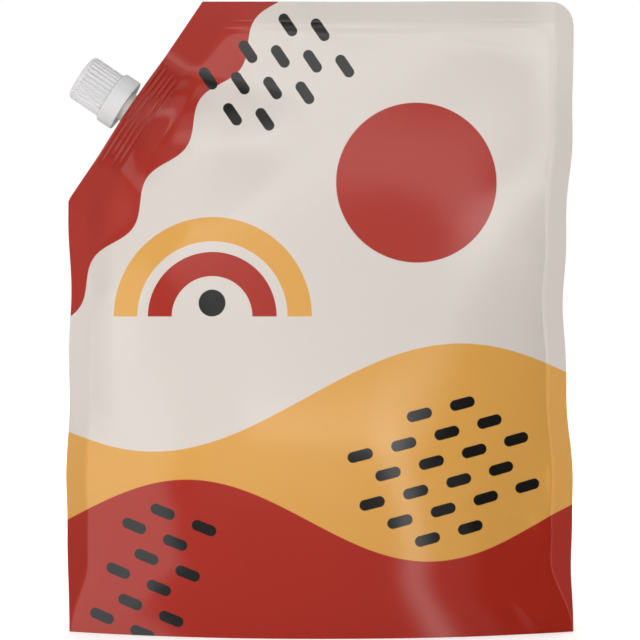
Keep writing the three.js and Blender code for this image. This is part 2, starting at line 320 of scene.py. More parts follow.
def make_piece(name: str, points: Array, faces: Array, sharp_degrees: float) -> bpy.types.Object:
    """Makes a closed, smooth-shaded mesh object in the scene.

    Args:
        name: The piece's name.
        points: Points in millimetres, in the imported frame.
        faces: Point numbers of each quad. Quads that collapse are dropped.
        sharp_degrees: Edges that bend by more than this stay sharp.

    Returns:
        The new object.
    """
    mesh = bpy.data.meshes.new(name)
    mesh.from_pydata((points.reshape(-1, 3) * MM).tolist(), [], faces.tolist())
    work = bmesh.new()
    work.from_mesh(mesh)
    bmesh.ops.remove_doubles(work, verts=work.verts, dist=MERGE_DISTANCE)
    bmesh.ops.recalc_face_normals(work, faces=work.faces)
    for face in work.faces:
        face.smooth = True
    work.to_mesh(mesh)
    work.free()
    mesh.set_sharp_from_angle(angle=math.radians(sharp_degrees))
    piece = bpy.data.objects.new(name, mesh)
    bpy.context.scene.collection.objects.link(piece)
    return piece


def settle(piece: bpy.types.Object, body: str, node: str, slot: str, material: bpy.types.Material) -> None:
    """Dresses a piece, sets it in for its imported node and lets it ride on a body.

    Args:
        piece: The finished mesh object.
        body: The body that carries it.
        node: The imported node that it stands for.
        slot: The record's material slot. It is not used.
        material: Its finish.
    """
    piece.data.materials.append(material)
    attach(piece, body)
    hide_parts(node)
    LOG.info("%s: %d faces, rides on %s", piece.name, len(piece.data.polygons), body)


@dataclass(frozen=True)
class Canvas:
    """The film's flat drawing plane in a shader, in millimetres, and a mask of the front panel."""

    tree: Tree
    place: Socket
    across: Socket
    height: Socket
    front: Socket
    edge: float = 0.15

    def inside(self, distance: Socket, size: float | Socket) -> Socket:
        """Gives 1 where a distance is under a size, with a crisp printed edge."""
        over = maths(self.tree, "SUBTRACT", distance, size)
        return remapped(self.tree, over, (self.edge, -self.edge), curve="SMOOTHSTEP")

    def both(self, first: Socket, second: Socket) -> Socket:
        """Gives the overlap of two masks."""
        return maths(self.tree, "MULTIPLY", first, second)


@dataclass(frozen=True)
class Shape(ABC):
    """One printed shape."""

    ink: Ink

    @abstractmethod
    def mask(self, canvas: Canvas) -> Socket:
        """Builds the nodes that give 1 where the shape is printed."""


@dataclass(frozen=True)
class Dune(Shape):
    """A field of colour below a long wave, on both panels."""

    level: float
    swing: float
    wavelength: float
    crest: float

    def mask(self, canvas: Canvas) -> Socket:
        """Builds the nodes that give 1 below the wave.

        Args:
            canvas: The film's drawing plane.

        Returns:
            The mask's socket.
        """
        turn = 2 * math.pi / self.wavelength
        phase = maths(canvas.tree, "MULTIPLY_ADD", canvas.across, turn, -turn * self.crest)
        wave = maths(canvas.tree, "COSINE", phase)
        top = maths(canvas.tree, "MULTIPLY_ADD", wave, self.swing, self.level)
        return canvas.inside(canvas.height, top)


@dataclass(frozen=True)
class Disc(Shape):
    """A plain round spot on the front panel."""

    centre: Pair
    radius: float

    def distance(self, canvas: Canvas) -> Socket:
        """Gives the distance from the shape's centre."""
        return vector_maths(canvas.tree, "DISTANCE", canvas.place, (*self.centre, 0.0))

    def mask(self, canvas: Canvas) -> Socket:
        """Builds the nodes that give 1 inside the spot."""
        return canvas.both(canvas.front, canvas.inside(self.distance(canvas), self.radius))


@dataclass(frozen=True)
class Arch(Disc):
    """The upper half of a ring on the front panel."""

    band: float

    def mask(self, canvas: Canvas) -> Socket:
        """Builds the nodes that give 1 inside the half ring.

        Args:
            canvas: The film's drawing plane.

        Returns:
            The mask's socket.
        """
        half, foot = self.band / 2, self.centre[1]
        ring = maths(canvas.tree, "COMPARE", self.distance(canvas), self.radius - half, half)
        mirrored = maths(canvas.tree, "SUBTRACT", 2 * foot, canvas.height)
        upper = canvas.inside(mirrored, foot)
        return canvas.both(canvas.front, canvas.both(ring, upper))


@dataclass(frozen=True)
class Dashes(Shape):
    """A patch of short round-ended bars in staggered rows on the front panel."""

    centre: Pair
    reach: float
    lean: float
    pitch: Pair = (16.5, 9.0)
    length: float = 9.5
    width: float = 4.0
    stagger: float = 0.5

    def mask(self, canvas: Canvas) -> Socket:
        """Builds the nodes that give 1 on each bar whose middle lies within the patch.

        Args:
            canvas: The film's drawing plane.

        Returns:
            The mask's socket.
        """
        tree = canvas.tree
        placing = {
            "Vector": canvas.place,
            "Location": (*self.centre, 0.0),
            "Rotation": (0.0, 0.0, math.radians(self.lean)),
            "Scale": (*self.pitch, 1.0),
        }
        cells = add_node(tree, "ShaderNodeMapping", {"vector_type": "TEXTURE"}, placing).outputs[0]
        row = add_node(tree, "ShaderNodeSeparateXYZ", None, {0: cells}).outputs["Y"]
        odd = maths(tree, "PINGPONG", maths(tree, "FLOOR", row), 1.0)
        shift = maths(tree, "MULTIPLY", odd, self.stagger)
        offset = add_node(tree, "ShaderNodeCombineXYZ", None, {"X": shift}).outputs[0]
        shifted = vector_maths(tree, "ADD", cells, offset)
        middle = vector_maths(tree, "ADD", vector_maths(tree, "FLOOR", shifted), (0.5, 0.5, 0.0))
        kept = maths(tree, "LESS_THAN", self.measure(tree, middle, 0.0), self.reach)
        from_middle = vector_maths(tree, "SUBTRACT", shifted, middle)
        near = self.measure(tree, from_middle, (self.length - self.width) / 2)
        return canvas.both(canvas.front, canvas.both(kept, canvas.inside(near, self.width / 2)))

    def measure(self, tree: Tree, cells: Socket, trim: float) -> Socket:
        """Turns an offset in cells to a length in millimetres.

        Args:
            tree: The node tree.
            cells: The offset, in cells.
            trim: A straight length along the row that doesn't count.

        Returns:
            The length's socket.
        """
        real = vector_maths(tree, "MULTIPLY", cells, (*self.pitch, 0.0))
        rest = vector_maths(tree, "SUBTRACT", vector_maths(tree, "ABSOLUTE", real), (trim, 0.0, 0.0))
        return vector_maths(tree, "LENGTH", vector_maths(tree, "MAXIMUM", rest, (0.0, 0.0, 0.0)))


@dataclass(frozen=True)
class CornerBlock(Shape):
    """A field of colour along a slanted edge, with a wavy inner side, on both panels."""

    origin: Pair
    slant: float
    level: float
    swing: float
    wavelength: float

    def mask(self, canvas: Canvas) -> Socket:
        """Builds the nodes that give 1 from the edge to the wave.

        Args:
            canvas: The film's drawing plane.

        Returns:
            The mask's socket.
        """
        placing = {
            "Vector": canvas.place,
            "Location": (*self.origin, 0.0),
            "Rotation": (0.0, 0.0, self.slant),
            "Scale": (1.0, -1.0, 1.0),
        }
        turned = add_node(canvas.tree, "ShaderNodeMapping", {"vector_type": "TEXTURE"}, placing).outputs[0]
        axes = add_node(canvas.tree, "ShaderNodeSeparateXYZ", None, {0: turned}).outputs
        slanted = replace(canvas, across=axes["X"], height=axes["Y"])
        return Dune(self.ink, self.level, self.swing, self.wavelength, 0.0).mask(slanted)


PRINT: tuple[Shape, ...] = (
    Dune(Ink.AMBER, level=88.0, swing=20.0, wavelength=230.0, crest=52.0),
    Dune(Ink.BRICK, level=43.0, swing=15.0, wavelength=178.0, crest=-48.0),
    Disc(Ink.BRICK, centre=(36.0, 168.0), radius=30.0),
    Arch(Ink.AMBER, centre=(-40.0, 118.0), radius=37.0, band=9.0),
    Arch(Ink.BRICK, centre=(-40.0, 118.0), radius=24.0, band=9.0),
    Disc(Ink.CHARCOAL, centre=(-40.0, 123.0), radius=5.0),
    Dashes(Ink.CHARCOAL, centre=(50.0, 62.0), reach=32.0, lean=14.0),
    Dashes(Ink.CHARCOAL, centre=(-14.0, 206.0), reach=25.0, lean=-56.0),
    Dashes(Ink.CHARCOAL, centre=(-58.0, 22.0), reach=24.0, lean=-20.0),
)


@dataclass(frozen=True)
class PrintedLaminate:
    """PET and PE laminate film, reverse-printed and left satin.

    The ink lies under a clear outer film, so every colour has the same smooth, soft-edged gloss. The film is
    never quite flat: the gloss breaks up a little over a few centimetres. A mark darkens its colour: at the
    seals partly for the film's translucency, where no pale soap lies behind it, and partly as painted shade;
    over the spout's boat and beside the left seal at the waist as painted shade.
    """

    shapes: tuple[Shape, ...]
    name: str = "printed_laminate_film"
    roughness: Pair = (0.12, 0.17)
    ior: float = 1.5
    cloudiness_mm: float = 40.0
    ripple_mm: float = 7.0
    ripple_height_mm: float = 0.012
    # The mark and its darkest factor darken the print: partly the seals' translucency, partly painted shade.
    seal_and_painted_shade_mark: str = "seal"
    darkest_seal_and_painted_shade: float = 0.84

    def material(self) -> bpy.types.Material:
        """Builds the film's material, with its print drawn over the piece's own coordinates.

        Returns:
            The material.
        """
        material, output = new_material(self.name)
        tree = material.node_tree
        own = add_node(tree, "ShaderNodeTexCoord").outputs
        place = own["Object"]
        print_colour = self.printed(tree, place, own["Normal"])
        # The print is darkened by the mark: painted shade, with the seals' translucency as the real part.
        mark = add_node(tree, "ShaderNodeAttribute", {"attribute_name": self.seal_and_painted_shade_mark}).outputs["Fac"]
        shade = remapped(tree, mark, wanted=(1.0, self.darkest_seal_and_painted_shade))
        surface = {
            "Base Color": vector_maths(tree, "SCALE", print_colour, shade),
            "Roughness": remapped(tree, noise(tree, place, self.cloudiness_mm, 2.0), wanted=self.roughness),
            "IOR": self.ior,
            "Normal": bumps(tree, noise(tree, place, self.ripple_mm, 1.0), self.ripple_height_mm),
        }
        surfaced(tree, output, surface)
        return material

    def printed(self, tree: Tree, place: Socket, facing: Socket) -> Socket:
        """Prints every shape in order over the cream ground.

        Args:
            tree: The material's node tree.
            place: The piece's own coordinates, in metres.
            facing: The way that the surface faces, which tells the panels apart.

        Returns:
            The colour's socket.
        """
        real = vector_maths(tree, "SCALE", place, 1 / MM)
        axes = add_node(tree, "ShaderNodeSeparateXYZ", None, {0: real}).outputs
        flat = add_node(tree, "ShaderNodeCombineXYZ", None, {"X": axes["X"], "Y": axes["Z"]}).outputs[0]
        towards = add_node(tree, "ShaderNodeSeparateXYZ", None, {0: facing}).outputs["Y"]
        canvas = Canvas(tree, flat, axes["X"], axes["Z"], maths(tree, "LESS_THAN", towards, 0.0))
        colour: Any = linear(Ink.CREAM.value)
        for shape in self.shapes:
            # The Mix node takes its factor at place 0, its two colours at 6 and 7, and gives a colour at 2.
            layer = {0: shape.mask(canvas), 6: colour, 7: linear(shape.ink.value)}
            colour = add_node(tree, "ShaderNodeMix", {"data_type": "RGBA"}, layer).outputs[2]
        return colour


@dataclass(frozen=True)
class MouldedPlastic:
    """Injection-moulded polyolefin: a soft, slightly waxy skin with a very fine spark-eroded grain.

    A little light sinks in, so edges and thin walls look soft and never chalky.
    """

    name: str
    colour: str
    roughness: float
    ior: float
    glow: float
    glow_depth_mm: float
    grain_mm: float = 0.35
    grain_height_mm: float = 0.0015
    tint_mm: float = 9.0
    tint_share: float = 0.03

    def material(self) -> bpy.types.Material:
        """Builds the plastic's material.

        Returns:
            The material.
        """
        material, output = new_material(self.name)
        tree = material.node_tree
        place = add_node(tree, "ShaderNodeTexCoord").outputs["Object"]
        base = linear(self.colour)
        ramp = add_node(tree, "ShaderNodeValToRGB", None, {0: noise(tree, place, self.tint_mm, 2.0)})
        ramp.color_ramp.elements[0].color = (*(c * (1 - self.tint_share) for c in base[:3]), 1.0)
        ramp.color_ramp.elements[1].color = base
        # The real grain is near 0.05 mm. It is drawn coarser, so that it shows as a soft break in the gloss.
        surface = {
            "Base Color": ramp.outputs[0],
            "Roughness": self.roughness,
            "IOR": self.ior,
            "Subsurface Weight": self.glow,
            "Subsurface Radius": (1.0, 0.95, 0.9),
            "Subsurface Scale": self.glow_depth_mm * MM,
            "Normal": bumps(tree, noise(tree, place, self.grain_mm, 2.0), self.grain_height_mm),
        }
        surfaced(tree, output, surface)
        return material


CAP_PLASTIC = MouldedPlastic("moulded_white_polypropylene", "#DAD9D9", 0.42, 1.49, 0.05, 0.5)
SPOUT_PLASTIC = MouldedPlastic("moulded_natural_polyethylene", "#DEDEDA", 0.4, 1.51, 0.25, 1.5)
LINER_FOAM = MouldedPlastic("foamed_polyethylene_liner", "#F0F0EC", 0.85, 1.4, 0.1, 0.6, 0.6, 0.05)


@dataclass(frozen=True)
class Span:
    """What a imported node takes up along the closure's axis, and how far it reaches from that axis."""

    foot: float
    top: float
    radius: float


@dataclass(frozen=True)
class Closure:
    """The spout's own frame: Z out along its axis, X up along the film's slanted edge, Y as the pack's."""

    origin: Array
    axis: Array

    @classmethod
    def from_frame(cls, joint: str) -> "Closure":
        """Reads the closure's frame from the cap's turning joint, by the joint's name."""
        turn = next(j for j in frame["joints"] if j["name"] == joint)
        return cls(np.array(turn["pos_m"]) / MM, np.array(turn["axis"]))

    @property
    def slant(self) -> float:
        """The angle of the slanted edge above the horizon."""
        return math.atan2(-self.axis[0], self.axis[2])

    def placed(self, points: Array) -> Array:
        """Moves points from the closure's frame into the pack's.

        Args:
            points: Points in the closure's frame.

        Returns:
            The same points in the pack's frame.
        """
        along = np.array([math.cos(self.slant), 0.0, math.sin(self.slant)])
        turn = np.stack([along, np.array([0.0, 1.0, 0.0]), self.axis])
        return points @ turn + self.origin

    def span(self, node: str) -> Span:
        """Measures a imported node.

        Args:
            node: The node's name.

        Returns:
            Its span, in millimetres.
        """
        packed = frame["nodes"][node]
        points = np.array([packed.matrix_world @ v.co for v in packed.data.vertices]) / MM - self.origin
        height = points @ self.axis
        away = np.linalg.norm(points - height[:, None] * self.axis, axis=1)
        return Span(height.min(), height.max(), away.max())


@dataclass(frozen=True)
class Boat:
    """The lens-shaped weld base of the spout, which the film is drawn over."""

    length: float = 42.0
    width: float = 11.6
    deep: float = 10.0
    top: float = 0.5
    ribs: int = 5
    rib_pitch: float = 1.9
    rib_thickness: float = 0.9
    rib_height: float = 0.35
    rib_edge: float = 0.12

    def half_width(self, along: Array, grow: float) -> Array:
        """Half the lens's width at a distance from its middle, below 0 past its tips.

        Args:
            along: Distance from the middle along the slanted edge.
            grow: Offset all round.

        Returns:
            The half width.
        """
        tip = math.atan2(2 * self.width, self.length)
        half = self.length / 2 + grow / math.sin(tip)
        return (self.width / 2 + grow) * (1 - (along / half) ** 2)

    def radius(self, angle: Array, grow: float) -> Array:
        """The lens's outline as a distance from the spout's axis.

        Args:
            angle: Angles round the axis.
            grow: Offset all round.

        Returns:
            The distance at each angle.
        """
        half, bow = self.length / 2 + 2 * grow, self.width / 2 + grow
        sine, curve = np.abs(np.sin(angle)), bow * np.cos(angle) ** 2 / half**2 + TINY
        return (np.sqrt(sine**2 + 4 * curve * bow) - sine) / (2 * curve)

    def rib_depths(self) -> Array:
        """Depth of the middle of each weld rib below the film's edge."""
        return self.top + self.rib_thickness / 2 + self.rib_pitch * np.arange(self.ribs)


@dataclass(frozen=True)
class Thread:
    """The right-hand thread that the neck and the cap share."""

    pitch: float = 3.0
    depth: float = 0.7
    root_width: float = 1.5
    crest_width: float = 0.7
    fade_turns: float = 0.12

    def rise(self, angle: Array, height: Array, start: float, first: float, turns: float) -> Array:
        """Height of the ridge over its wall.

        Args:
            angle: Angle round the axis, from 0 to a full turn.
            height: Height along the axis.
            start: Height of the ridge's middle at turn 0.
            first: The turn at which the ridge begins.
            turns: How many turns it has.

        Returns:
            The ridge's rise at each point.
        """
        share = angle / (2 * math.pi)
        nearest = np.round((height - start) / self.pitch - share)
        turn = nearest + share
        off = np.abs(height - start - self.pitch * turn)
        slope = (self.root_width - self.crest_width) / 2
        flank = np.clip((self.root_width / 2 - off) / slope, 0.0, 1.0)
        ends = np.minimum(turn - first, first + turns - turn)
        return self.depth * flank * smoothstep(ends, 0.0, self.fade_turns)


@dataclass(frozen=True)
class Fold:
    """A crease with one crisp side: the film bends at its line and runs out softly beside it.

    A negative width puts its soft side at the right of its line.
    """

    centre: Pair
    heading: float
    reach: float
    width: float
    height: float

    def mirrored(self) -> "Fold":
        """The same fold at the other side of the pouch."""
        centre = (-self.centre[0], self.centre[1])
        return Fold(centre, 180 - self.heading, self.reach, -self.width, self.height)

    def rise(self, x: Array, z: Array) -> Array:
        """How far the fold lifts the film.

        Args:
            x: Places across the pouch.
            z: Heights.

        Returns:
            The lift at each place.
        """
        turn = math.radians(self.heading)
        dx, dz = x - self.centre[0], z - self.centre[1]
        along = dx * math.cos(turn) + dz * math.sin(turn)
        beside = np.maximum(0.0, (dz * math.cos(turn) - dx * math.sin(turn)) / self.width)
        return self.height * beside * np.exp(1 - beside) * ridge(along, self.reach)


FRONT_FOLDS: tuple[Fold, ...] = (
    Fold(centre=(68.3, 47.5), heading=97.0, reach=4.5, width=5.0, height=-0.45),
    Fold(centre=(86.0, 56.0), heading=92.0, reach=6.5, width=4.0, height=-0.65),
    Fold(centre=(80.0, 42.0), heading=112.0, reach=4.0, width=2.5, height=-0.35),
    Fold(centre=(84.3, 22.0), heading=91.0, reach=5.5, width=1.8, height=-0.3),
    Fold(centre=(75.3, 8.5), heading=130.0, reach=9.0, width=3.5, height=-0.4),
    Fold(centre=(66.0, 49.5), heading=158.0, reach=11.0, width=3.0, height=-0.25),
    Fold(centre=(-86.0, 22.0), heading=88.0, reach=8.0, width=-3.0, height=0.35),
    Fold(centre=(-86.5, 81.0), heading=82.0, reach=9.0, width=-5.0, height=-0.45),
    Fold(centre=(-47.0, 178.0), heading=75.0, reach=13.0, width=-7.0, height=0.6),
    Fold(centre=(-70.0, 150.0), heading=15.0, reach=13.0, width=-7.0, height=0.5),
    Fold(centre=(62.0, 221.0), heading=172.0, reach=16.0, width=4.0, height=0.25),
)


@dataclass(frozen=True)
class EdgeWave:
    """Where the film's edge swings, how far apart or how wide its swings are, and how deep."""

    height: float
    pitch: float
    depth: float = 0.0


@dataclass(frozen=True)
class SealSway:
    """How a flat seal wanders out of the pouch's middle plane, and how far that reaches into the panel."""

    depth: float
    pitch: float
    phase: float
    reach: float

    def offset(self, along: Array, inside: Array) -> Array:
        """The offset at places along the seal and distances inside its inner line."""
        fade = np.exp(-np.maximum(inside, 0.0) / self.reach)
        return self.depth * np.sin(along / self.pitch + self.phase) * fade


@dataclass(frozen=True)
class TopCrease:
    """A thin, wandering crease along the top seal's inner line."""

    depth: float
    wander: float
    height: float
    width: float
    wander_pitch: float = 24.0
    evenness: float = 0.6
    pitches: Pair = (19.0, 43.0)

    def raised(self, x: Array, from_top: Array, draw: np.random.Generator) -> Array:
        """How far the crease stands out.

        Args:
            x: Places across the pouch.
            from_top: Distance inside the seal's inner line.
            draw: The seeded source of how it wanders.

        Returns:
            Its rise at each place.
        """
        phase = draw.uniform(*PHASES, 3)
        line = from_top - self.depth - self.wander * np.sin(x / self.wander_pitch + phase[0])
        return self.height * uneven(x, self.evenness, self.pitches, phase[1:]) * ridge(line, self.width)


@dataclass(frozen=True)
class Puckers:
    """Short gathers that run inwards from a side seal."""

    count: int = 7
    heights: Pair = (40.0, 205.0)
    scatter: float = 9.0
    depth: float = 0.45
    widths: Pair = (5.0, 9.0)
    lean: float = 0.5
    reach: float = 5.0

    def raised(self, distance: Array, z: Array, draw: np.random.Generator) -> Array:
        """How far the gathers stand out.

        Args:
            distance: Distance inside the seal's inner line.
            z: Heights.
            draw: The seeded source of their places and sizes.

        Returns:
            Their rise at each place.
        """
        gathered = np.zeros_like(z)
        inward = np.maximum(distance, 0.0)
        along = inward / self.reach * np.exp(1 - inward / self.reach)
        for middle in np.linspace(*self.heights, self.count):
            place = middle + draw.uniform(-self.scatter, self.scatter)
            height = draw.uniform(-self.depth, self.depth)
            width = draw.uniform(*self.widths)
            lean = draw.uniform(-self.lean, self.lean)
            gathered += height * along * ridge(z - place - lean * inward, width)
        return gathered


@dataclass(frozen=True)
class WeldLines:
    """Lines that the boat's ribs press through the film, each uneven along its length."""

    height: float = 0.38
    width: float = 0.45
    reaches: Pair = (17.0, 22.0)
    ends: Pair = (-6.0, 2.0)
    evenness: float = 0.8
    pitches: Pair = (11.0, 5.0)
    wander: float = 0.15
    wander_pitch: float = 13.0

    def raised(self, depths: Array, inside: Array, along: Array, draw: np.random.Generator) -> Array:
        """How far the lines stand out.

        Args:
            depths: Depth of each rib below the slanted edge.
            inside: Distance inside that edge.
            along: Distance along it from the spout's axis.
            draw: The seeded source of their unevenness.

        Returns:
            Their rise at each place.
        """
        pressed = np.zeros_like(inside)
        for depth in depths:
            phase, reach = draw.uniform(*PHASES, 2), draw.uniform(*self.reaches)
            strength = uneven(along, self.evenness, self.pitches, phase)
            line = inside - depth - self.wander * np.sin(along / self.wander_pitch + phase[1])
            run = 1 - smoothstep(np.abs(along), reach + self.ends[0], reach + self.ends[1])
            pressed += self.height * strength * ridge(line, self.width) * run
        return pressed


@dataclass(frozen=True)
class PanelWaves:
    """The faint unrest of the filled panel, which dies away towards its seals."""

    count: int = 5
    height: float = 0.12
    lengths: Pair = (9.0, 16.0)
    margins: tuple[float, float, float, float] = (40.0, 40.0, 30.0, 40.0)

    def raised(self, x: Array, z: Array, seals: Sequence[Array], draw: np.random.Generator) -> Array:
        """How far the waves stand out.

        Args:
            x: Places across the pouch.
            z: Heights.
            seals: Distances inside the left, right, top and slanted seals.
            draw: The seeded source of their headings and lengths.

        Returns:
            Their rise at each place.
        """
        calm = np.ones_like(x)
        for distance, margin in zip(seals, self.margins):
            calm = calm * smoothstep(distance, 0.0, margin)
        waves = np.zeros_like(x)
        for _ in range(self.count):
            heading = draw.uniform(0, np.pi)
            phase = draw.uniform(*PHASES)
            along = (x * math.cos(heading) + z * math.sin(heading)) / draw.uniform(*self.lengths)
            waves += self.height * np.sin(along + phase)
        return waves * calm


@dataclass(frozen=True)
class CornerDents:
    """Soft dents above the base corners, where the flat seals meet the round belly."""

    depths: Pair = (-0.5, -1.5)
    inset: float = 21.0
    height: float = 44.0
    widths: Pair = (11.0, 24.0)

    def raised(self, x: Array, z: Array, half_width: float, side: Side) -> Array:
        """How far the dents stand out, which is below 0.

        Args:
            x: Places across the pouch.
            z: Heights.
            half_width: Half the pouch's width.
            side: The panel. Seen from outside, each has its deeper dent at its right.

        Returns:
            Their rise at each place.
        """
        dented = np.zeros_like(x)
        for corner, depth in zip((side.value, -side.value), self.depths):
            across = half_width - corner * x - self.inset
            dented += depth * ridge(across, self.widths[0]) * ridge(z - self.height, self.widths[1])
        return dented


@dataclass(frozen=True)
class SealTranslucencyAndPaintedShade:
    """How much darker the film's colour is painted, from 0 to 1.

    It is half dark at the flat seals, partly for the film's translucency where no pale soap lies behind it and
    partly as painted shade, and darkest over the spout's boat, where it is painted shade. At the waist the left
    seal's painted shade moves inward, to a band just inside the seal.
    """

    line_blur: Pair = (-0.6, 0.6)
    boat_ends: Pair = (-4.0, 6.0)
    boat_fade: float = 14.0
    left_shade_foot: Pair = (65.0, 90.0)
    left_shade_top: Pair = (150.0, 170.0)
    left_shade_near: Pair = (-1.0, 2.0)
    left_shade_far: Pair = (4.0, 12.0)
    left_shade_gain: float = 0.55
    left_shade_loss: float = 0.25

    def seal(self, inside: Array) -> Array:
        """Gives 1 on a flat seal and 0 inside its inner line."""
        return 1 - smoothstep(inside, *self.line_blur)

    def boat(self, inside: Array, along: Array, half_length: float, weld_end: float) -> Array:
        """Gives 1 where the boat lies behind the film, where the colour gets painted shade.

        Args:
            inside: Distance inside the slanted edge.
            along: Distance along it from the spout's axis.
            half_length: Half the boat's length.
            weld_end: Depth at which the weld ends.

        Returns:
            The share at each place.
        """
        low, high = (half_length + end for end in self.boat_ends)
        across = 1 - smoothstep(np.abs(along), low, high)
        return across * (1 - smoothstep(inside, weld_end, weld_end + self.boat_fade))

    def left_painted_shade(self, inside: Array, z: Array) -> Array:
        """What the painted shade gains just inside the left seal at the waist, and loses on the seal.

        Args:
            inside: Distance inside the left seal's inner line.
            z: Heights.

        Returns:
            The change at each place.
        """
        waist = smoothstep(z, *self.left_shade_foot) * (1 - smoothstep(z, *self.left_shade_top))
        beside = smoothstep(inside, *self.left_shade_near) * (1 - smoothstep(inside, *self.left_shade_far))
        return waist * (self.left_shade_gain * beside - self.left_shade_loss * self.seal(inside))


@dataclass(frozen=True)
class FilmGrid:
    """How finely the film's panels and base are divided."""

    seal_margin: float = 4.0
    column_steps: tuple[float, float, float, float] = (0.55, 1.1, 1.25, 0.4)
    weld_margin: float = 2.0
    inset_reach: float = 28.0
    inset_steps: Pair = (0.24, 0.8)
    foot_margin: float = 3.0
    foot_step: float = 1.0
    middle_rows: int = 122
    base_rows: int = 27
    sharp_degrees: float = 50.0


@dataclass
class PouchFilm:
    """Front panel, back panel and folded base of printed film, as one closed skin round the soap."""

    closure: Closure
    boat: Boat
    finish: PrintedLaminate
    node: str = "pouch"
    top_corner_radius: float = 8.5
    cut_corner_radius: float = 11.0
    waist_pulls: Pair = (1.5, 3.7)
    waist_height: float = 122.0
    waist_reach: float = 88.0
    edge_waves: tuple[EdgeWave, EdgeWave] = (EdgeWave(106.0, 45.0), EdgeWave(102.0, 40.0))
    left_pulls: tuple[EdgeWave, ...] = (EdgeWave(0.0, 30.0, 1.1),)
    right_pulls: tuple[EdgeWave, ...] = (EdgeWave(25.0, 14.0, 1.0), EdgeWave(201.0, 9.0, 0.35))
    edge_wander: float = 0.4
    wander_foot: Pair = (20.0, 60.0)
    wander_top: Pair = (175.0, 205.0)
    side_seal: float = 7.0
    top_seal: float = 8.0
    cut_seal: float = 12.0
    seam_half: float = 0.22
    film: float = 0.3
    corner_fold: float = 27.0
    base_depth: float = 50.0
    belly_height: float = 46.0
    panel_fullness: float = 2.2
    headspace_slack: float = 1.5
    cut_relief: float = 34.0
    tip_rounding: float = 1.6
    weld_end: float = 16.5
    weld_dip: float = 0.08
    weld_swell: float = 0.3
    weld_swell_reach: float = 6.0
    spout_fade: Pair = (13.0, 78.0)
    bulge_blend: int = 4
    pillow: float = 1.5
    pillow_reach: float = 9.0
    pillow_heights: Pair = (20.0, 120.0)
    top_sway: SealSway = SealSway(0.8, 15.0, 0.8, 16.0)
    right_sway: SealSway = SealSway(0.7, 19.0, 1.2, 12.0)
    left_sway: SealSway = SealSway(0.6, 17.0, 2.5, 12.0)
    sway_cut: Pair = (0.0, 40.0)
    sway_foot: Pair = (10.0, 60.0)
    top_creases: tuple[TopCrease, ...] = (
        TopCrease(depth=-0.4, wander=0.3, height=0.1, width=0.4),
        TopCrease(depth=1.4, wander=0.5, height=-0.14, width=0.5),
        TopCrease(depth=3.2, wander=0.8, height=0.16, width=0.8),
    )
    crease_end: Pair = (2.0, 14.0)
    relief_cut: Pair = (-2.0, 12.0)
    seal_line_height: float = 0.12
    seal_line_width: float = 0.5
    seal_line_foot: Pair = (18.0, 40.0)
    seal_line_top: Pair = (0.0, 20.0)
    puckers: Puckers = Puckers()
    weld_lines: WeldLines = WeldLines()
    panel_waves: PanelWaves = PanelWaves()
    corner_dents: CornerDents = CornerDents()
    translucency_and_painted_shade: SealTranslucencyAndPaintedShade = SealTranslucencyAndPaintedShade()
    mesh: FilmGrid = FilmGrid()
    skirt_height: float = 4.0
    base_clearance: float = 1.2
    base_fold_height: float = 0.35
    base_fold_share: float = 0.035
    mouth_depth: float = 0.6
    seed: int = 11
    width: float = field(init=False)
    height: float = field(init=False)
    belly_depth: float = field(init=False)

    def __post_init__(self) -> None:
        """Takes the pouch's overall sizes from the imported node."""
        low, high = (np.array(corner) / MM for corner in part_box(self.node))
        self.width, self.belly_depth, self.height = high - low

    def edges(self, z: Array) -> tuple[Array, Array]:
        """The left and right edge at each height, with the waist that the filled belly pulls in.

        The film's edges also wander in and out a little, and are drawn in at a few heights.

        Args:
            z: Heights above the surface that the pouch stands on.

        Returns:
            The x of the left edge and of the right edge at those heights.
        """
        off = np.minimum(1.0, np.abs(z - self.waist_height) / self.waist_reach)
        waist = (1 + np.cos(np.pi * off)) / 2
        wander = self.edge_wander * smoothstep(z, *self.wander_foot) * (1 - smoothstep(z, *self.wander_top))
        pulls = []
        sides = zip(self.waist_pulls, self.edge_waves, (self.left_pulls, self.right_pulls))
        for pull, wave, drawn in sides:
            ripple = wander * np.cos(2 * np.pi * (z - wave.height) / wave.pitch)
            inward = sum(each.depth * ridge(z - each.height, each.pitch) for each in drawn)
            pulls.append(pull * waist - ripple + inward)
        return pulls[0] - self.width / 2, self.width / 2 - pulls[1]

    def from_cut(self, x: Array, z: Array) -> tuple[Array, Array]:
        """Measures from the slanted edge.

        Args:
            x: Places across the pouch.
            z: Heights.

        Returns:
            Distance inside the slanted edge, and along it from the spout's axis.
        """
        sine, cosine = math.sin(self.closure.slant), math.cos(self.closure.slant)
        across, up = x - self.closure.origin[0], z - self.closure.origin[2]
        return across * sine - up * cosine, across * cosine + up * sine

    def top_row(self, x: Array, inset: Array) -> Array:
        """Height of a line that lies inside the top and slanted edges.

        Args:
            x: Places across the pouch.
            inset: How far inside the line lies.

        Returns:
            Its height at each place.
        """
        radius = self.top_corner_radius
        into = np.clip(x - self.width / 2 + radius, 0.0, radius)
        drop = radius - np.sqrt(radius**2 - into**2)
        slant = self.closure.slant
        cut = self.closure.origin[2] + (x - self.closure.origin[0]) * math.tan(slant)
        lowered = cut - self.cut_corner_drop(x) - inset / math.cos(slant)
        return np.minimum(self.height - drop - inset, lowered)

    def cut_corner_drop(self, x: Array) -> Array:
        """How far the arc between the left side and the slanted edge lies below that edge.

        Args:
            x: Places across the pouch.

        Returns:
            The drop at each place.
        """
        slant, radius = self.closure.slant, self.cut_corner_radius
        tangent = radius * math.tan((math.pi / 2 - slant) / 2)
        into = np.clip(x + self.width / 2, 0.0, tangent * math.cos(slant))
        arc = np.sqrt(radius**2 - (radius - into) ** 2) - tangent
        return into * math.tan(slant) - arc

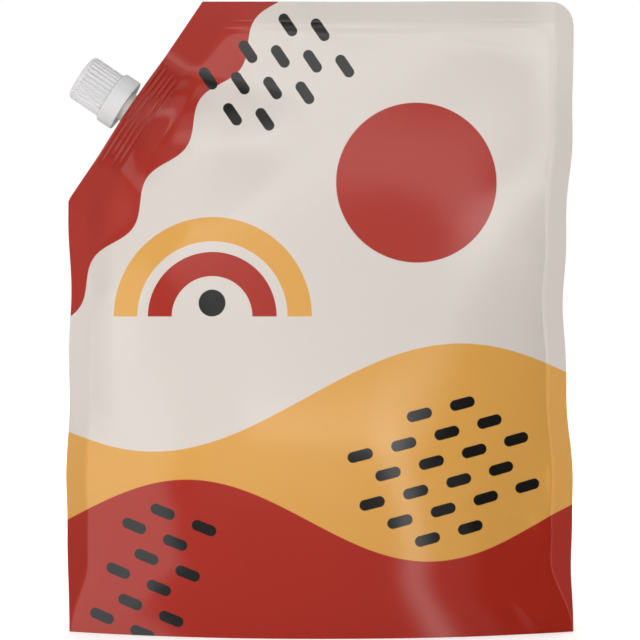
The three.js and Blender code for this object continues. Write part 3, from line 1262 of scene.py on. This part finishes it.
    def seal_distances(self, x: Array, z: Array) -> tuple[Array, Array, Array, Array]:
        """Measures from the seals' inner lines.

        Args:
            x: Places across the pouch.
            z: Heights.

        Returns:
            Distance inside the inner lines of the left, right, top and slanted seals.
        """
        left, right = self.edges(z)
        seal = self.side_seal * smoothstep(z, 0.0, self.corner_fold)
        inside, _ = self.from_cut(x, z)
        return x - left - seal, right - seal - x, self.height - self.top_seal - z, inside - self.cut_seal

    def panel_bulge(self, x: Array, z: Array) -> Array:
        """Half the depth that the soap and the air above it give the panels.

        Args:
            x: Places across the pouch.
            z: Heights.

        Returns:
            The half depth at each place.
        """
        from_left, from_right, from_top, from_cut = self.seal_distances(x, z)
        across = np.clip(np.abs(from_left - from_right) / (from_left + from_right), 0.0, 1.0)
        lens = 1 - across**self.panel_fullness
        swell = np.sin(np.minimum(1.0, z / self.belly_height) * np.pi / 2)
        drop = smoothstep(z, self.belly_height, self.height - self.top_seal)
        depth = self.base_depth + (self.belly_depth - self.base_depth) * swell
        filled = depth / 2 * (1 - drop) ** self.headspace_slack * lens
        filled = filled * smoothstep(from_cut, 0.0, self.cut_relief)
        air = np.ones_like(x)
        for distance in (from_left, from_right, from_top, from_cut):
            air = air * (1 - np.exp(-np.maximum(distance, 0.0) / self.pillow_reach))
        return filled + self.pillow * air * smoothstep(z, *self.pillow_heights)

    def spout_bulge(self, x: Array, z: Array) -> Array:
        """Half the depth where the film is drawn over the boat, dips at the weld's end and stays open below.

        Args:
            x: Places across the pouch.
            z: Heights.

        Returns:
            The half depth at each place.
        """
        inside, along = self.from_cut(x, z)
        below = np.maximum(0.0, inside - self.boat.deep)
        lens = self.boat.half_width(along / (1 + below / self.boat.length), self.film)
        dip = self.weld_dip * smoothstep(inside, self.boat.deep, self.weld_end)
        past = np.maximum(0.0, inside - self.weld_end)
        swell = self.weld_swell * (1 - np.exp(-past / self.weld_swell_reach))
        fade = (1 - dip + swell) * (1 - smoothstep(inside - self.weld_end, *self.spout_fade))
        return (lens + np.hypot(lens, self.tip_rounding)) / 2 * fade

    def half_depth(self, x: Array, z: Array) -> Array:
        """Half the depth of the pouch at each place, with one bulge blending into the other.

        Args:
            x: Places across the pouch.
            z: Heights.

        Returns:
            The half depth, which is never less than the flat seam's.
        """
        power = self.bulge_blend
        joined = (self.panel_bulge(x, z) ** power + self.spout_bulge(x, z) ** power) ** (1 / power)
        return np.maximum(self.seam_half, joined)

    def sway(self, x: Array, z: Array) -> Array:
        """How far the flat seals wander out of the pouch's middle plane.

        Args:
            x: Places across the pouch.
            z: Heights.

        Returns:
            The middle plane's offset at each place.
        """
        from_left, from_right, from_top, from_cut = self.seal_distances(x, z)
        upper = self.top_sway.offset(x, from_top) + self.left_sway.offset(z, from_left)
        swayed = upper * smoothstep(from_cut, *self.sway_cut) + self.right_sway.offset(z, from_right)
        return swayed * smoothstep(z, *self.sway_foot)

    def relief(self, x: Array, z: Array, side: Side) -> Array:
        """Creases, weld lines, puckers, waves, dents and folds that stand out of one panel.

        Args:
            x: Places across the pouch.
            z: Heights.
            side: The panel.

        Returns:
            How far they stand out at each place.
        """
        draw = np.random.default_rng(self.seed + (side is Side.BACK))
        seals = self.seal_distances(x, z)
        from_left, from_right, from_top, from_cut = seals
        clear = smoothstep(from_cut, *self.relief_cut)
        creased = sum(crease.raised(x, from_top, draw) for crease in self.top_creases)
        raised = creased * smoothstep(from_right, *self.crease_end) * clear
        run = smoothstep(z, *self.seal_line_foot) * smoothstep(from_top, *self.seal_line_top) * clear
        for distance in (from_left, from_right):
            raised += self.seal_line_height * ridge(distance, self.seal_line_width) * run
            raised += self.puckers.raised(distance, z, draw) * run
        raised += self.weld_lines.raised(self.boat.rib_depths(), *self.from_cut(x, z), draw)
        raised += self.panel_waves.raised(x, z, seals, draw)
        raised += self.corner_dents.raised(x, z, self.width / 2, side)
        for fold in FRONT_FOLDS:
            raised += (fold if side is Side.FRONT else fold.mirrored()).rise(x, z)
        return raised

    def grid(self) -> tuple[Array, Array]:
        """Places of the panels' points as seen from the front, in rows from the top edge down.

        Returns:
            The x and the z of each point.
        """
        mesh, half, seal = self.mesh, self.width / 2, self.side_seal + self.mesh.seal_margin
        rise = self.height - self.closure.origin[2]
        top_x = self.closure.origin[0] + rise / math.tan(self.closure.slant)
        stops = (-half, seal - half, top_x, half - seal, half)
        columns = stretches(*zip(stops, stops[1:], mesh.column_steps))
        stops = (0.0, self.cut_seal - mesh.weld_margin, mesh.inset_reach)
        insets = stretches(*zip(stops, stops[1:], mesh.inset_steps))
        upper = self.top_row(columns[None, :], insets[:, None])
        foot = stretches((self.corner_fold + mesh.foot_margin, 0.0, mesh.foot_step))
        lowest = foot[:, None] * np.ones_like(columns)
        middle = np.linspace(0, 1, mesh.middle_rows)[1:-1, None]
        z = np.concatenate([upper, upper[-1] + (lowest[0] - upper[-1]) * middle, lowest])
        left, right = self.edges(z)
        return left + (columns + half) / self.width * (right - left), z

    def base(self, x: Array, outer: Array, sway: Array) -> Array:
        """The underside from the front seam to the back: up the skirt, then the base film with its fold.

        Args:
            x: Place of each column at the seam.
            outer: Half the depth of the seam's outside there.
            sway: The middle plane there.

        Returns:
            Rows of points from front to back.
        """
        inner = np.maximum(0.0, outer - 2 * self.film)
        open_share = np.minimum(1.0, inner / self.skirt_height)
        rows = [np.stack([x, sway - inner, np.zeros_like(x)], axis=-1)]
        for share in np.linspace(-1, 1, self.mesh.base_rows):
            sag = 1 - share**2
            fold = self.base_fold_height * ridge(share, self.base_fold_share)
            z = self.skirt_height + (self.base_clearance - self.skirt_height) * sag + fold
            rows.append(np.stack([x, sway + share * inner, open_share * z], axis=-1))
        rows.append(np.stack([x, sway + inner, np.zeros_like(x)], axis=-1))
        return np.stack(rows)

    def mouth(self, x: Array, outer: Array, sway: Array) -> Array:
        """The slit between the two films at the slanted edge, down to the boat's top.

        Args:
            x: Place of each column at the edge.
            outer: Half the depth of the films' outside there.
            sway: The middle plane there.

        Returns:
            Rows of points from back to front.
        """
        inner = np.maximum(0.0, outer - self.film)
        deep = (self.boat.top + self.mouth_depth) * np.minimum(1.0, inner)
        edge, floor = self.top_row(x, 0.0 * x), self.top_row(x, deep)
        corners = ((inner, edge), (inner, floor), (-inner, floor), (-inner, edge))
        return np.stack([np.stack([x, sway + y, z], axis=-1) for y, z in corners])

    def build(self) -> bpy.types.Object:
        """Makes the film's mesh, in rings that run down the front, under the base and up the back.

        Returns:
            The new object.
        """
        x, z = self.grid()
        sway, depth = self.sway(x, z), self.half_depth(x, z)
        panels = {}
        for side in Side:
            out = np.maximum(self.seam_half, depth + self.relief(x, z, side))
            panels[side] = np.stack([x, sway + side.value * out, z], axis=-1)
        front, back = panels[Side.FRONT], panels[Side.BACK]
        base = self.base(x[-1], (back[-1] - front[-1])[:, 1] / 2, sway[-1])
        mouth = self.mouth(x[0], (back[0] - front[0])[:, 1] / 2, sway[0])
        rings = np.concatenate([front, base, back[::-1], mouth]).transpose(1, 0, 2)
        ends = rings[[0, -1]].copy()
        ends[:, :, 1] = rings[[0, -1]][:, :, 1].mean(axis=1, keepdims=True)
        rings = np.concatenate([ends[:1], rings, ends[1:]])
        faces = skin_faces(len(rings), rings.shape[1], wrap_rings=False, wrap_points=True)
        return make_piece("pouch_film", rings, faces, self.mesh.sharp_degrees)

    def mark_seals_and_painted_shade(self, piece: bpy.types.Object) -> None:
        """Writes on each point how dark the film's colour is painted, for the seals' translucency and as
        painted shade, for the finish to read.

        Args:
            piece: The film's mesh, in the pouch's own frame.
        """
        points = np.array([v.co for v in piece.data.vertices]) / MM
        x, z = points[:, 0], points[:, 2]
        seals = self.seal_distances(x, z)
        flat = self.translucency_and_painted_shade.seal(np.min(seals, axis=0))
        weld = self.translucency_and_painted_shade.boat(*self.from_cut(x, z), self.boat.length / 2, self.weld_end)
        mark = piece.data.attributes.new(self.finish.seal_and_painted_shade_mark, "FLOAT", "POINT")
        # Half the seals' darkening and half the boat's painted shade, plus the painted shade beside the left
        # seal.
        mark.data.foreach_set("value", (flat + weld) / 2 + self.translucency_and_painted_shade.left_painted_shade(seals[0], z))

    def dress(self) -> None:
        """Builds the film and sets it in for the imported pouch."""
        film = self.build()
        self.mark_seals_and_painted_shade(film)
        settle(film, "pack", self.node, "laminate_film", self.finish.material())


@dataclass
class Turning(ABC):
    """A moulding turned about the closure's axis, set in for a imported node."""

    closure: Closure
    finish: MouldedPlastic
    node: str
    slot: str
    body: str
    steps: int
    span: Span = field(init=False)

    def __post_init__(self) -> None:
        """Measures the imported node."""
        self.span = self.closure.span(self.node)

    @abstractmethod
    def build(self) -> bpy.types.Object:
        """Makes the moulding's mesh."""

    def angles(self) -> Array:
        """Angles of the columns round the axis, as a column."""
        return np.linspace(0, 2 * math.pi, self.steps, endpoint=False)[:, None]

    def skin(self, name: str, radius: Array, height: Array, closed: bool, sharp: float) -> bpy.types.Object:
        """Makes the turned mesh.

        Args:
            name: The piece's name.
            radius: Radius at each angle and profile point.
            height: Height of each profile point.
            closed: Whether the profile closes on itself, and doesn't end on the axis.
            sharp: Edges that bend by more degrees than this stay sharp.

        Returns:
            The new object.
        """
        angle = self.angles()
        points = np.stack([radius * np.cos(angle), radius * np.sin(angle), height + 0 * radius], axis=-1)
        faces = skin_faces(self.steps, radius.shape[1], wrap_rings=True, wrap_points=closed)
        return make_piece(name, self.closure.placed(points.reshape(-1, 3)), faces, sharp)

    def dress(self) -> None:
        """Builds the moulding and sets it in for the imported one."""
        settle(self.build(), self.body, self.node, self.slot, self.finish.material())


@dataclass
class TamperRing(Turning):
    """The band below the cap: a low shoulder, a hook under the neck's flange and stubs of tear bridges."""

    node: str = "tamper_ring"
    slot: str = "white_polypropylene"
    body: str = "pack"
    steps: int = 160
    wall: float = 1.3
    foot_lip: float = 0.4
    shoulder_inset: float = 1.0
    shoulder_rise: float = 0.75
    slit_fill: float = 0.16
    lid: float = 1.0
    hook: float = 6.8
    hook_rise: float = 2.1
    mouth: float = 7.7
    segment: float = 0.6
    bridges: int = 30
    bridge_radius: float = 8.6
    bridge_width: float = 1.5
    bridge_depth: float = 0.6
    bridge_height: float = 0.1
    bridge_root: float = 0.1
    bridge_taper: Pair = (0.7, 0.45)

    @property
    def top(self) -> float:
        """Height of the band's upper edge, which leaves a finer slit below the cap than the solids do."""
        return self.span.top + self.slit_fill

    @property
    def hook_top(self) -> float:
        """Height of the hook's upper edge."""
        return self.span.foot + self.hook_rise

    def build(self) -> bpy.types.Object:
        """Makes the ring's mesh.

        Returns:
            The new object.
        """
        foot, top, outer = self.span.foot, self.top, self.span.radius
        inner, hook_foot = outer - self.wall, self.hook_top - self.wall / 2
        profile = filleted(
            [
                (inner - self.foot_lip, foot, 0.15),
                (outer, foot, 0.45),
                (outer, top - self.shoulder_rise, 0.2),
                (outer - self.shoulder_inset, top, 0.2),
                (self.mouth, top, 0.2),
                (self.mouth, top - self.lid, 0.15),
                (inner, top - self.lid, 0.2),
                (inner, hook_foot, 0.2),
                (self.hook, self.hook_top, 0.12),
                (self.hook, hook_foot, 0.12),
            ],
            closed=True,
        )
        profile = subdivided(profile, self.segment, closed=True)
        radius = np.repeat(profile[None, :, 0], self.steps, axis=0)
        return self.skin("tamper_band", radius, profile[:, 1], closed=True, sharp=40)

    def build_bridges(self) -> bpy.types.Object:
        """Makes the stubs that tear when the cap is first turned: small posts, narrower at the top.

        Returns:
            The new object.
        """
        deep, wide, points, faces = self.bridge_depth / 2, self.bridge_width / 2, [], []
        levels = (-self.bridge_root, 0.5 * self.bridge_height, self.bridge_height)
        for number in range(self.bridges):
            turn = 2 * math.pi * number / self.bridges
            radial = np.array([math.cos(turn), math.sin(turn), 0.0])
            across = np.array([-math.sin(turn), math.cos(turn), 0.0])
            first = len(points)
            for level, share in zip(levels, (1.0, *self.bridge_taper)):
                for a, b in ((-1, -1), (1, -1), (1, 1), (-1, 1)):
                    offset = radial * (a * deep * share) + across * (b * wide * share)
                    up = np.array([0.0, 0.0, self.top + level])
                    points.append(radial * self.bridge_radius + offset + up)
            faces.append([first, first + 1, first + 2, first + 3])
            faces.append([first + 8, first + 9, first + 10, first + 11])
            for row in (0, 4):
                for k in range(4):
                    low, ahead = first + row + k, first + row + (k + 1) % 4
                    faces.append([low, ahead, ahead + 4, low + 4])
        return make_piece("tear_bridges", self.closure.placed(np.array(points)), np.array(faces), 30)

    def dress(self) -> None:
        """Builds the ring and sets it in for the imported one, with its tear bridges."""
        super().dress()
        stubs = self.build_bridges()
        stubs.data.materials.append(self.finish.material())
        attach(stubs, self.body)
        LOG.info("%s: %d stubs", stubs.name, self.bridges)


@dataclass
class ScrewCap(Turning):
    """The ribbed cap, with a rounded crown edge, a plain bore and an inner thread."""

    node: str = "screw_cap"
    slot: str = "white_polypropylene"
    body: str = "cap"
    steps: int = 30 * 12
    thread: Thread = Thread()
    crown_wall: float = 1.4
    bore: float = 6.7
    edge_height: float = 2.1
    edge_inset: float = 1.8
    edge_steps: int = 12
    segment: float = 0.25
    ribs: int = 30
    rib_depth: float = 0.75
    rib_runout: float = 1.3
    rib_overlap: float = 0.4
    rib_phase: float = 0.375
    thread_drop: float = 1.3
    thread_turns: float = 1.3

    @property
    def neck_thread_start(self) -> float:
        """Height at which the neck's thread begins, just above the cap's foot."""
        return self.span.foot + self.thread.root_width

    def build(self) -> bpy.types.Object:
        """Makes the cap's mesh from the middle of its ceiling, down the bore and up the ribs to its crown.

        Returns:
            The new object.
        """
        foot, crown, outer = self.span.foot, self.span.top, self.span.radius
        ceiling, edge_foot = crown - self.crown_wall, crown - self.edge_height
        inside = filleted(
            [
                (0.0, ceiling, 0.0),
                (self.bore, ceiling, 0.25),
                (self.bore, foot, 0.2),
                (outer, foot, 0.12),
                (outer, edge_foot, 0.0),
            ],
            closed=False,
        )
        turn = np.linspace(0, math.pi / 2, self.edge_steps)[1:]
        inward, up = self.edge_inset * (1 - np.cos(turn)), self.edge_height * np.sin(turn)
        edge = np.stack([outer - inward, edge_foot + up], axis=-1)
        profile = np.concatenate([inside, edge, np.array([[0.0, crown]])])
        profile = subdivided(profile, self.segment, closed=False)
        radius, height = profile[:, 0], profile[:, 1]
        angle = self.angles()
        in_bore = (np.abs(radius - self.bore) < 0.05) & (height < ceiling)
        start = self.neck_thread_start - self.thread_drop
        first = (self.thread_drop + self.thread.root_width / 2) / self.thread.pitch
        rise = self.thread.rise(angle, height[None, :], start, first, self.thread_turns)
        at_wall = radius > (self.bore + outer) / 2
        rib_top = edge_foot - self.rib_overlap
        ribbed = np.where(at_wall, 1 - smoothstep(height, rib_top, rib_top + self.rib_runout), 0.0)
        groove = (1 + np.cos(self.ribs * angle - 2 * math.pi * self.rib_phase)) / 2
        wall = radius[None, :] - np.where(in_bore, rise, 0.0) - self.rib_depth * groove * ribbed
        return self.skin("cap_moulding", wall, height, closed=False, sharp=45)


@dataclass
class Spout(Turning):
    """The welded fitment: ribbed boat, neck, stop flange, thread and bore."""

    node: str = "spout"
    slot: str = "natural_polyethylene"
    body: str = "pack"
    steps: int = 240
    boat: Boat = Boat()
    thread: Thread = Thread()
    flange_foot: float = 4.3
    thread_start: float = 10.4
    neck: float = 5.7
    bore: float = 4.5
    flange: float = 7.4
    flange_thickness: float = 1.0
    segment: float = 0.2
    thread_turns: float = 2.2
    thread_margin: float = 0.3

    def build(self) -> bpy.types.Object:
        """Makes the spout's mesh as one grid of angles and profile rows.

        Returns:
            The new object.
        """
        boat, top, lip = self.boat, self.flange_foot + self.flange_thickness, self.span.top
        turned = filleted(
            [
                (self.neck, -boat.top, 0.0),
                (self.neck, self.flange_foot, 0.3),
                (self.flange, self.flange_foot, 0.25),
                (self.flange, top, 0.25),
                (self.neck, top, 0.4),
                (self.neck, lip, 0.4),
                (self.bore, lip, 0.3),
                (self.bore, -boat.deep, 0.0),
            ],
            closed=False,
        )
        turned = subdivided(turned, self.segment, closed=False)
        angle = self.angles()
        rows, heights = [], []
        for row_height, grow in self.boat_rows():
            rows.append(np.maximum(boat.radius(angle, grow), self.neck))
            heights.append(row_height)
        radius, height = turned[:, 0], turned[:, 1]
        outside = (radius > self.bore + 0.1) & (height > top + self.thread_margin)
        rise = self.thread.rise(angle, height[None, :], self.thread_start, 0.0, self.thread_turns)
        wall = radius[None, :] + np.where(outside, rise, 0.0)
        radius = np.concatenate([*rows, wall], axis=1)
        return self.skin("spout_moulding", radius, np.array([*heights, *height]), closed=True, sharp=40)

    def boat_rows(self) -> list[tuple[float, float]]:
        """Rows up the boat's side, with its weld ribs.

        Returns:
            Height and offset of each row.
        """
        boat, low = self.boat, -self.boat.rib_height
        rows = [(-boat.deep, low)]
        for depth in boat.rib_depths()[::-1]:
            foot, top = -depth - boat.rib_thickness / 2, -depth + boat.rib_thickness / 2
            rows += [(foot, low), (foot + boat.rib_edge, 0.0), (top - boat.rib_edge, 0.0), (top, low)]
        return rows


@dataclass
class SealingLiner:
    """The foam disc in the cap's crown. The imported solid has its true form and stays."""

    finish: MouldedPlastic
    node: str = "sealing_liner"

    def dress(self) -> None:
        """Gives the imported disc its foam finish."""
        disc = frame["nodes"][self.node]
        disc.data.materials.clear()
        disc.data.materials.append(self.finish.material())
        LOG.info("%s: packed solid, foam finish", self.node)


@dataclass(frozen=True)
class Softbox:
    """One lamp with a diffuser, aimed at the pack's middle. At a brightness of 1 its face looks white."""

    name: str
    azimuth: float
    elevation: float
    distance: float
    size: Pair
    brightness: float


@dataclass(frozen=True)
class Glow:
    """A brighter or darker field on the studio wall, as a span of azimuth in degrees and of height in metres.

    Its edges lean by so many degrees for each metre below and above the horizon, as a tilted scrim's do.
    """

    azimuth: float
    half_width: float
    softness: float
    lean: Pair
    low: float
    high: float
    fade: float
    brightness: float

    def add_to(self, tree: Tree, azimuth: Socket, height: Socket, level: float | Socket) -> Socket:
        """Adds the field to the wall's brightness so far.

        Args:
            tree: The wall's node tree.
            azimuth: Direction round the pack, in degrees from the camera's side.
            height: Height in metres.
            level: The brightness so far.

        Returns:
            The new brightness.
        """
        middle: float | Socket = self.azimuth
        for choice, lean in (("MINIMUM", -self.lean[0]), ("MAXIMUM", self.lean[1])):
            middle = maths(tree, "MULTIPLY_ADD", maths(tree, choice, height, 0.0), lean, middle)
        away = maths(tree, "ABSOLUTE", maths(tree, "SUBTRACT", azimuth, middle))
        spans = (
            (away, (self.half_width + self.softness, self.half_width - self.softness)),
            (height, (self.low - self.fade, self.low + self.fade)),
            (height, (self.high + self.fade, self.high - self.fade)),
        )
        share: float | Socket = self.brightness
        for value, limits in spans:
            share = maths(tree, "MULTIPLY", share, remapped(tree, value, limits, curve="SMOOTHSTEP"))
        return maths(tree, "ADD", level, share)


@dataclass
class Studio:
    """A white sweep, softboxes, grey walls that only reflections see, and the camera. Lengths are metres."""

    target: tuple[float, float, float] = (0.0, 0.0, 0.1167)
    camera_distance: float = 1.083
    view_width: float = 0.2398
    sensor_width_mm: float = 36.0
    ambient: float = 0.45
    wall_grey: float = 0.28
    wall_radius: float = 2.4
    wall_low: float = -6.0
    wall_high: float = 2.6
    wall_sides: int = 96
    floor_size: float = 16.0
    floor_drop: float = 0.0001
    floor_grey: float = 0.88
    floor_glow: Pair = (0.42, 0.7)
    floor_glow_reach: Pair = (0.3, 1.5)
    lamps: tuple[Softbox, ...] = (
        Softbox("key", azimuth=-14.0, elevation=-2.0, distance=0.7, size=(0.6, 0.4), brightness=4.15),
        Softbox("overhead", azimuth=-10.0, elevation=78.0, distance=1.0, size=(0.9, 0.9), brightness=0.4),
        Softbox("left_rim", azimuth=-75.0, elevation=35.0, distance=1.2, size=(0.8, 0.8), brightness=0.9),
        Softbox("back_fill", azimuth=172.0, elevation=28.0, distance=1.4, size=(1.3, 0.9), brightness=2.4),
    )
    glows: tuple[Glow, ...] = (
        Glow(-101.0, 51.0, 2.0, lean=(23.0, 15.0), low=-0.9, high=1.4, fade=0.2, brightness=1.15),
        Glow(24.5, 4.0, 4.0, lean=(10.0, -8.5), low=-1.5, high=0.85, fade=0.2, brightness=2.3),
        Glow(102.0, 52.0, 2.5, lean=(3.0, -43.0), low=-1.8, high=1.8, fade=0.2, brightness=-0.25),
        Glow(5.5, 25.5, 5.0, lean=(0.0, 0.0), low=0.54, high=1.0, fade=0.03, brightness=0.8),
        Glow(5.5, 25.5, 5.0, lean=(0.0, 0.0), low=0.6, high=1.8, fade=0.08, brightness=0.75),
    )

    def build(self) -> None:
        """Sets up the whole studio."""
        bpy.context.scene.view_settings.view_transform = "Standard"
        self.add_world()
        self.add_floor()
        self.add_walls()
        for lamp in self.lamps:
            self.add_lamp(lamp)
        self.add_camera()
        LOG.info("studio: %d lamps", len(self.lamps))

    def seen(self, tree: Tree) -> Socket:
        """Finds the rays that see the background: from the camera, in gloss and through glass.

        Args:
            tree: The node tree that gets the nodes.

        Returns:
            The socket that gives 1 for those rays.
        """
        path = add_node(tree, "ShaderNodeLightPath").outputs
        direct = maths(tree, "MAXIMUM", path["Is Camera Ray"], path["Is Glossy Ray"])
        return maths(tree, "MAXIMUM", direct, path["Is Transmission Ray"])

    def add_world(self) -> None:
        """A white surround to look at, and a plain soft level of light from all round."""
        world = bpy.data.worlds.new("white_surround")
        world.use_nodes = True
        tree = world.node_tree
        tree.nodes.clear()
        strength = remapped(tree, self.seen(tree), wanted=(self.ambient, 1.0))
        white = {"Color": (1.0, 1.0, 1.0, 1.0), "Strength": strength}
        background = add_node(tree, "ShaderNodeBackground", None, white)
        output = add_node(tree, "ShaderNodeOutputWorld")
        tree.links.new(background.outputs[0], output.inputs["Surface"])
        bpy.context.scene.world = world

    def add_floor(self) -> None:
        """A matt white floor that keeps the pack's shadow, and is lifted to white farther off where seen."""
        bpy.ops.mesh.primitive_plane_add(size=self.floor_size, location=(0.0, 0.0, -self.floor_drop))
        floor = bpy.context.object
        floor.name = "floor"
        material, output = new_material("matt_white_sweep")
        tree = material.node_tree
        grey = (self.floor_grey, self.floor_grey, self.floor_grey, 1.0)
        matt = add_node(tree, "ShaderNodeBsdfDiffuse", None, {"Color": grey})
        place = add_node(tree, "ShaderNodeTexCoord").outputs["Object"]
        away = vector_maths(tree, "LENGTH", place)
        level = remapped(tree, away, self.floor_glow_reach, self.floor_glow)
        shown = maths(tree, "MULTIPLY", level, self.seen(tree))
        white = add_node(tree, "ShaderNodeEmission", None, {"Strength": shown})
        both = add_node(tree, "ShaderNodeAddShader", None, {0: matt.outputs[0], 1: white.outputs[0]})
        tree.links.new(both.outputs[0], output.inputs["Surface"])
        floor.data.materials.append(material)
        floor.visible_glossy = False

    def add_walls(self) -> None:
        """Grey studio walls with brighter and darker fields, which only reflections see.

        They give the film's gloss its contrast: a bright left, a narrow strip at the right of the middle, a
        dark right side where the print looks deepest, and a grey front that is brighter high up.
        """
        bpy.ops.mesh.primitive_cylinder_add(
            vertices=self.wall_sides,
            radius=self.wall_radius,
            depth=self.wall_high - self.wall_low,
            end_fill_type="NOTHING",
            location=(0.0, 0.0, (self.wall_high + self.wall_low) / 2),
        )
        walls = bpy.context.object
        walls.name = "studio_walls"
        material, output = new_material("grey_studio_wall")
        tree = material.node_tree
        place = add_node(tree, "ShaderNodeNewGeometry").outputs["Position"]
        axes = add_node(tree, "ShaderNodeSeparateXYZ", None, {0: place}).outputs
        ahead = maths(tree, "MULTIPLY", axes["Y"], -1.0)
        degrees = maths(tree, "DEGREES", maths(tree, "ARCTAN2", axes["X"], ahead))
        level: float | Socket = self.wall_grey
        for glow in self.glows:
            level = glow.add_to(tree, degrees, axes["Z"], level)
        paint = add_node(tree, "ShaderNodeEmission", None, {"Strength": level})
        tree.links.new(paint.outputs[0], output.inputs["Surface"])
        walls.data.materials.append(material)
        walls.visible_camera = False
        walls.visible_diffuse = False
        walls.visible_shadow = False
        walls.visible_transmission = False

    def add_lamp(self, lamp: Softbox) -> None:
        """Hangs one softbox.

        Args:
            lamp: Its place, size and brightness.
        """
        turn, rise = math.radians(lamp.azimuth), math.radians(lamp.elevation)
        away = Vector((math.sin(turn) * math.cos(rise), -math.cos(turn) * math.cos(rise), math.sin(rise)))
        light = bpy.data.lights.new(lamp.name, "AREA")
        light.shape = "RECTANGLE"
        light.size, light.size_y = lamp.size
        light.energy = lamp.brightness * math.pi * lamp.size[0] * lamp.size[1]
        holder = bpy.data.objects.new(lamp.name, light)
        holder.location = Vector(self.target) + away * lamp.distance
        holder.rotation_euler = away.to_track_quat("Z", "Y").to_euler()
        holder.visible_glossy = False
        bpy.context.scene.collection.objects.link(holder)

    def add_camera(self) -> None:
        """Sets the camera level with the pack's middle, as the photograph was taken."""
        camera = bpy.data.cameras.new("camera")
        camera.sensor_width = self.sensor_width_mm
        camera.lens = camera.sensor_width * self.camera_distance / self.view_width
        holder = bpy.data.objects.new("camera", camera)
        holder.location = Vector(self.target) + Vector((0.0, -self.camera_distance, 0.0))
        holder.rotation_euler = (math.pi / 2, 0.0, 0.0)
        bpy.context.scene.collection.objects.link(holder)
        bpy.context.scene.camera = holder


def main() -> None:
    """Builds the studio and every piece of the pack in order."""
    logging.basicConfig(level=logging.INFO)
    Studio().build()
    closure, boat, thread = Closure.from_frame("cap_turn"), Boat(), Thread()
    spot = (closure.origin[0], closure.origin[2])
    corner = CornerBlock(Ink.BRICK, spot, closure.slant, level=23.0, swing=3.0, wavelength=36.0)
    PouchFilm(closure, boat, PrintedLaminate((corner, *PRINT))).dress()
    ring = TamperRing(closure, CAP_PLASTIC)
    cap = ScrewCap(closure, CAP_PLASTIC, thread=thread)
    spout = Spout(closure, SPOUT_PLASTIC, boat=boat, thread=thread)
    spout.flange_foot = ring.hook_top + HOOK_GAP
    spout.thread_start = cap.neck_thread_start
    for moulding in (ring, cap, spout):
        moulding.dress()
    SealingLiner(LINER_FOAM).dress()


if __name__ == "__main__":
    main()
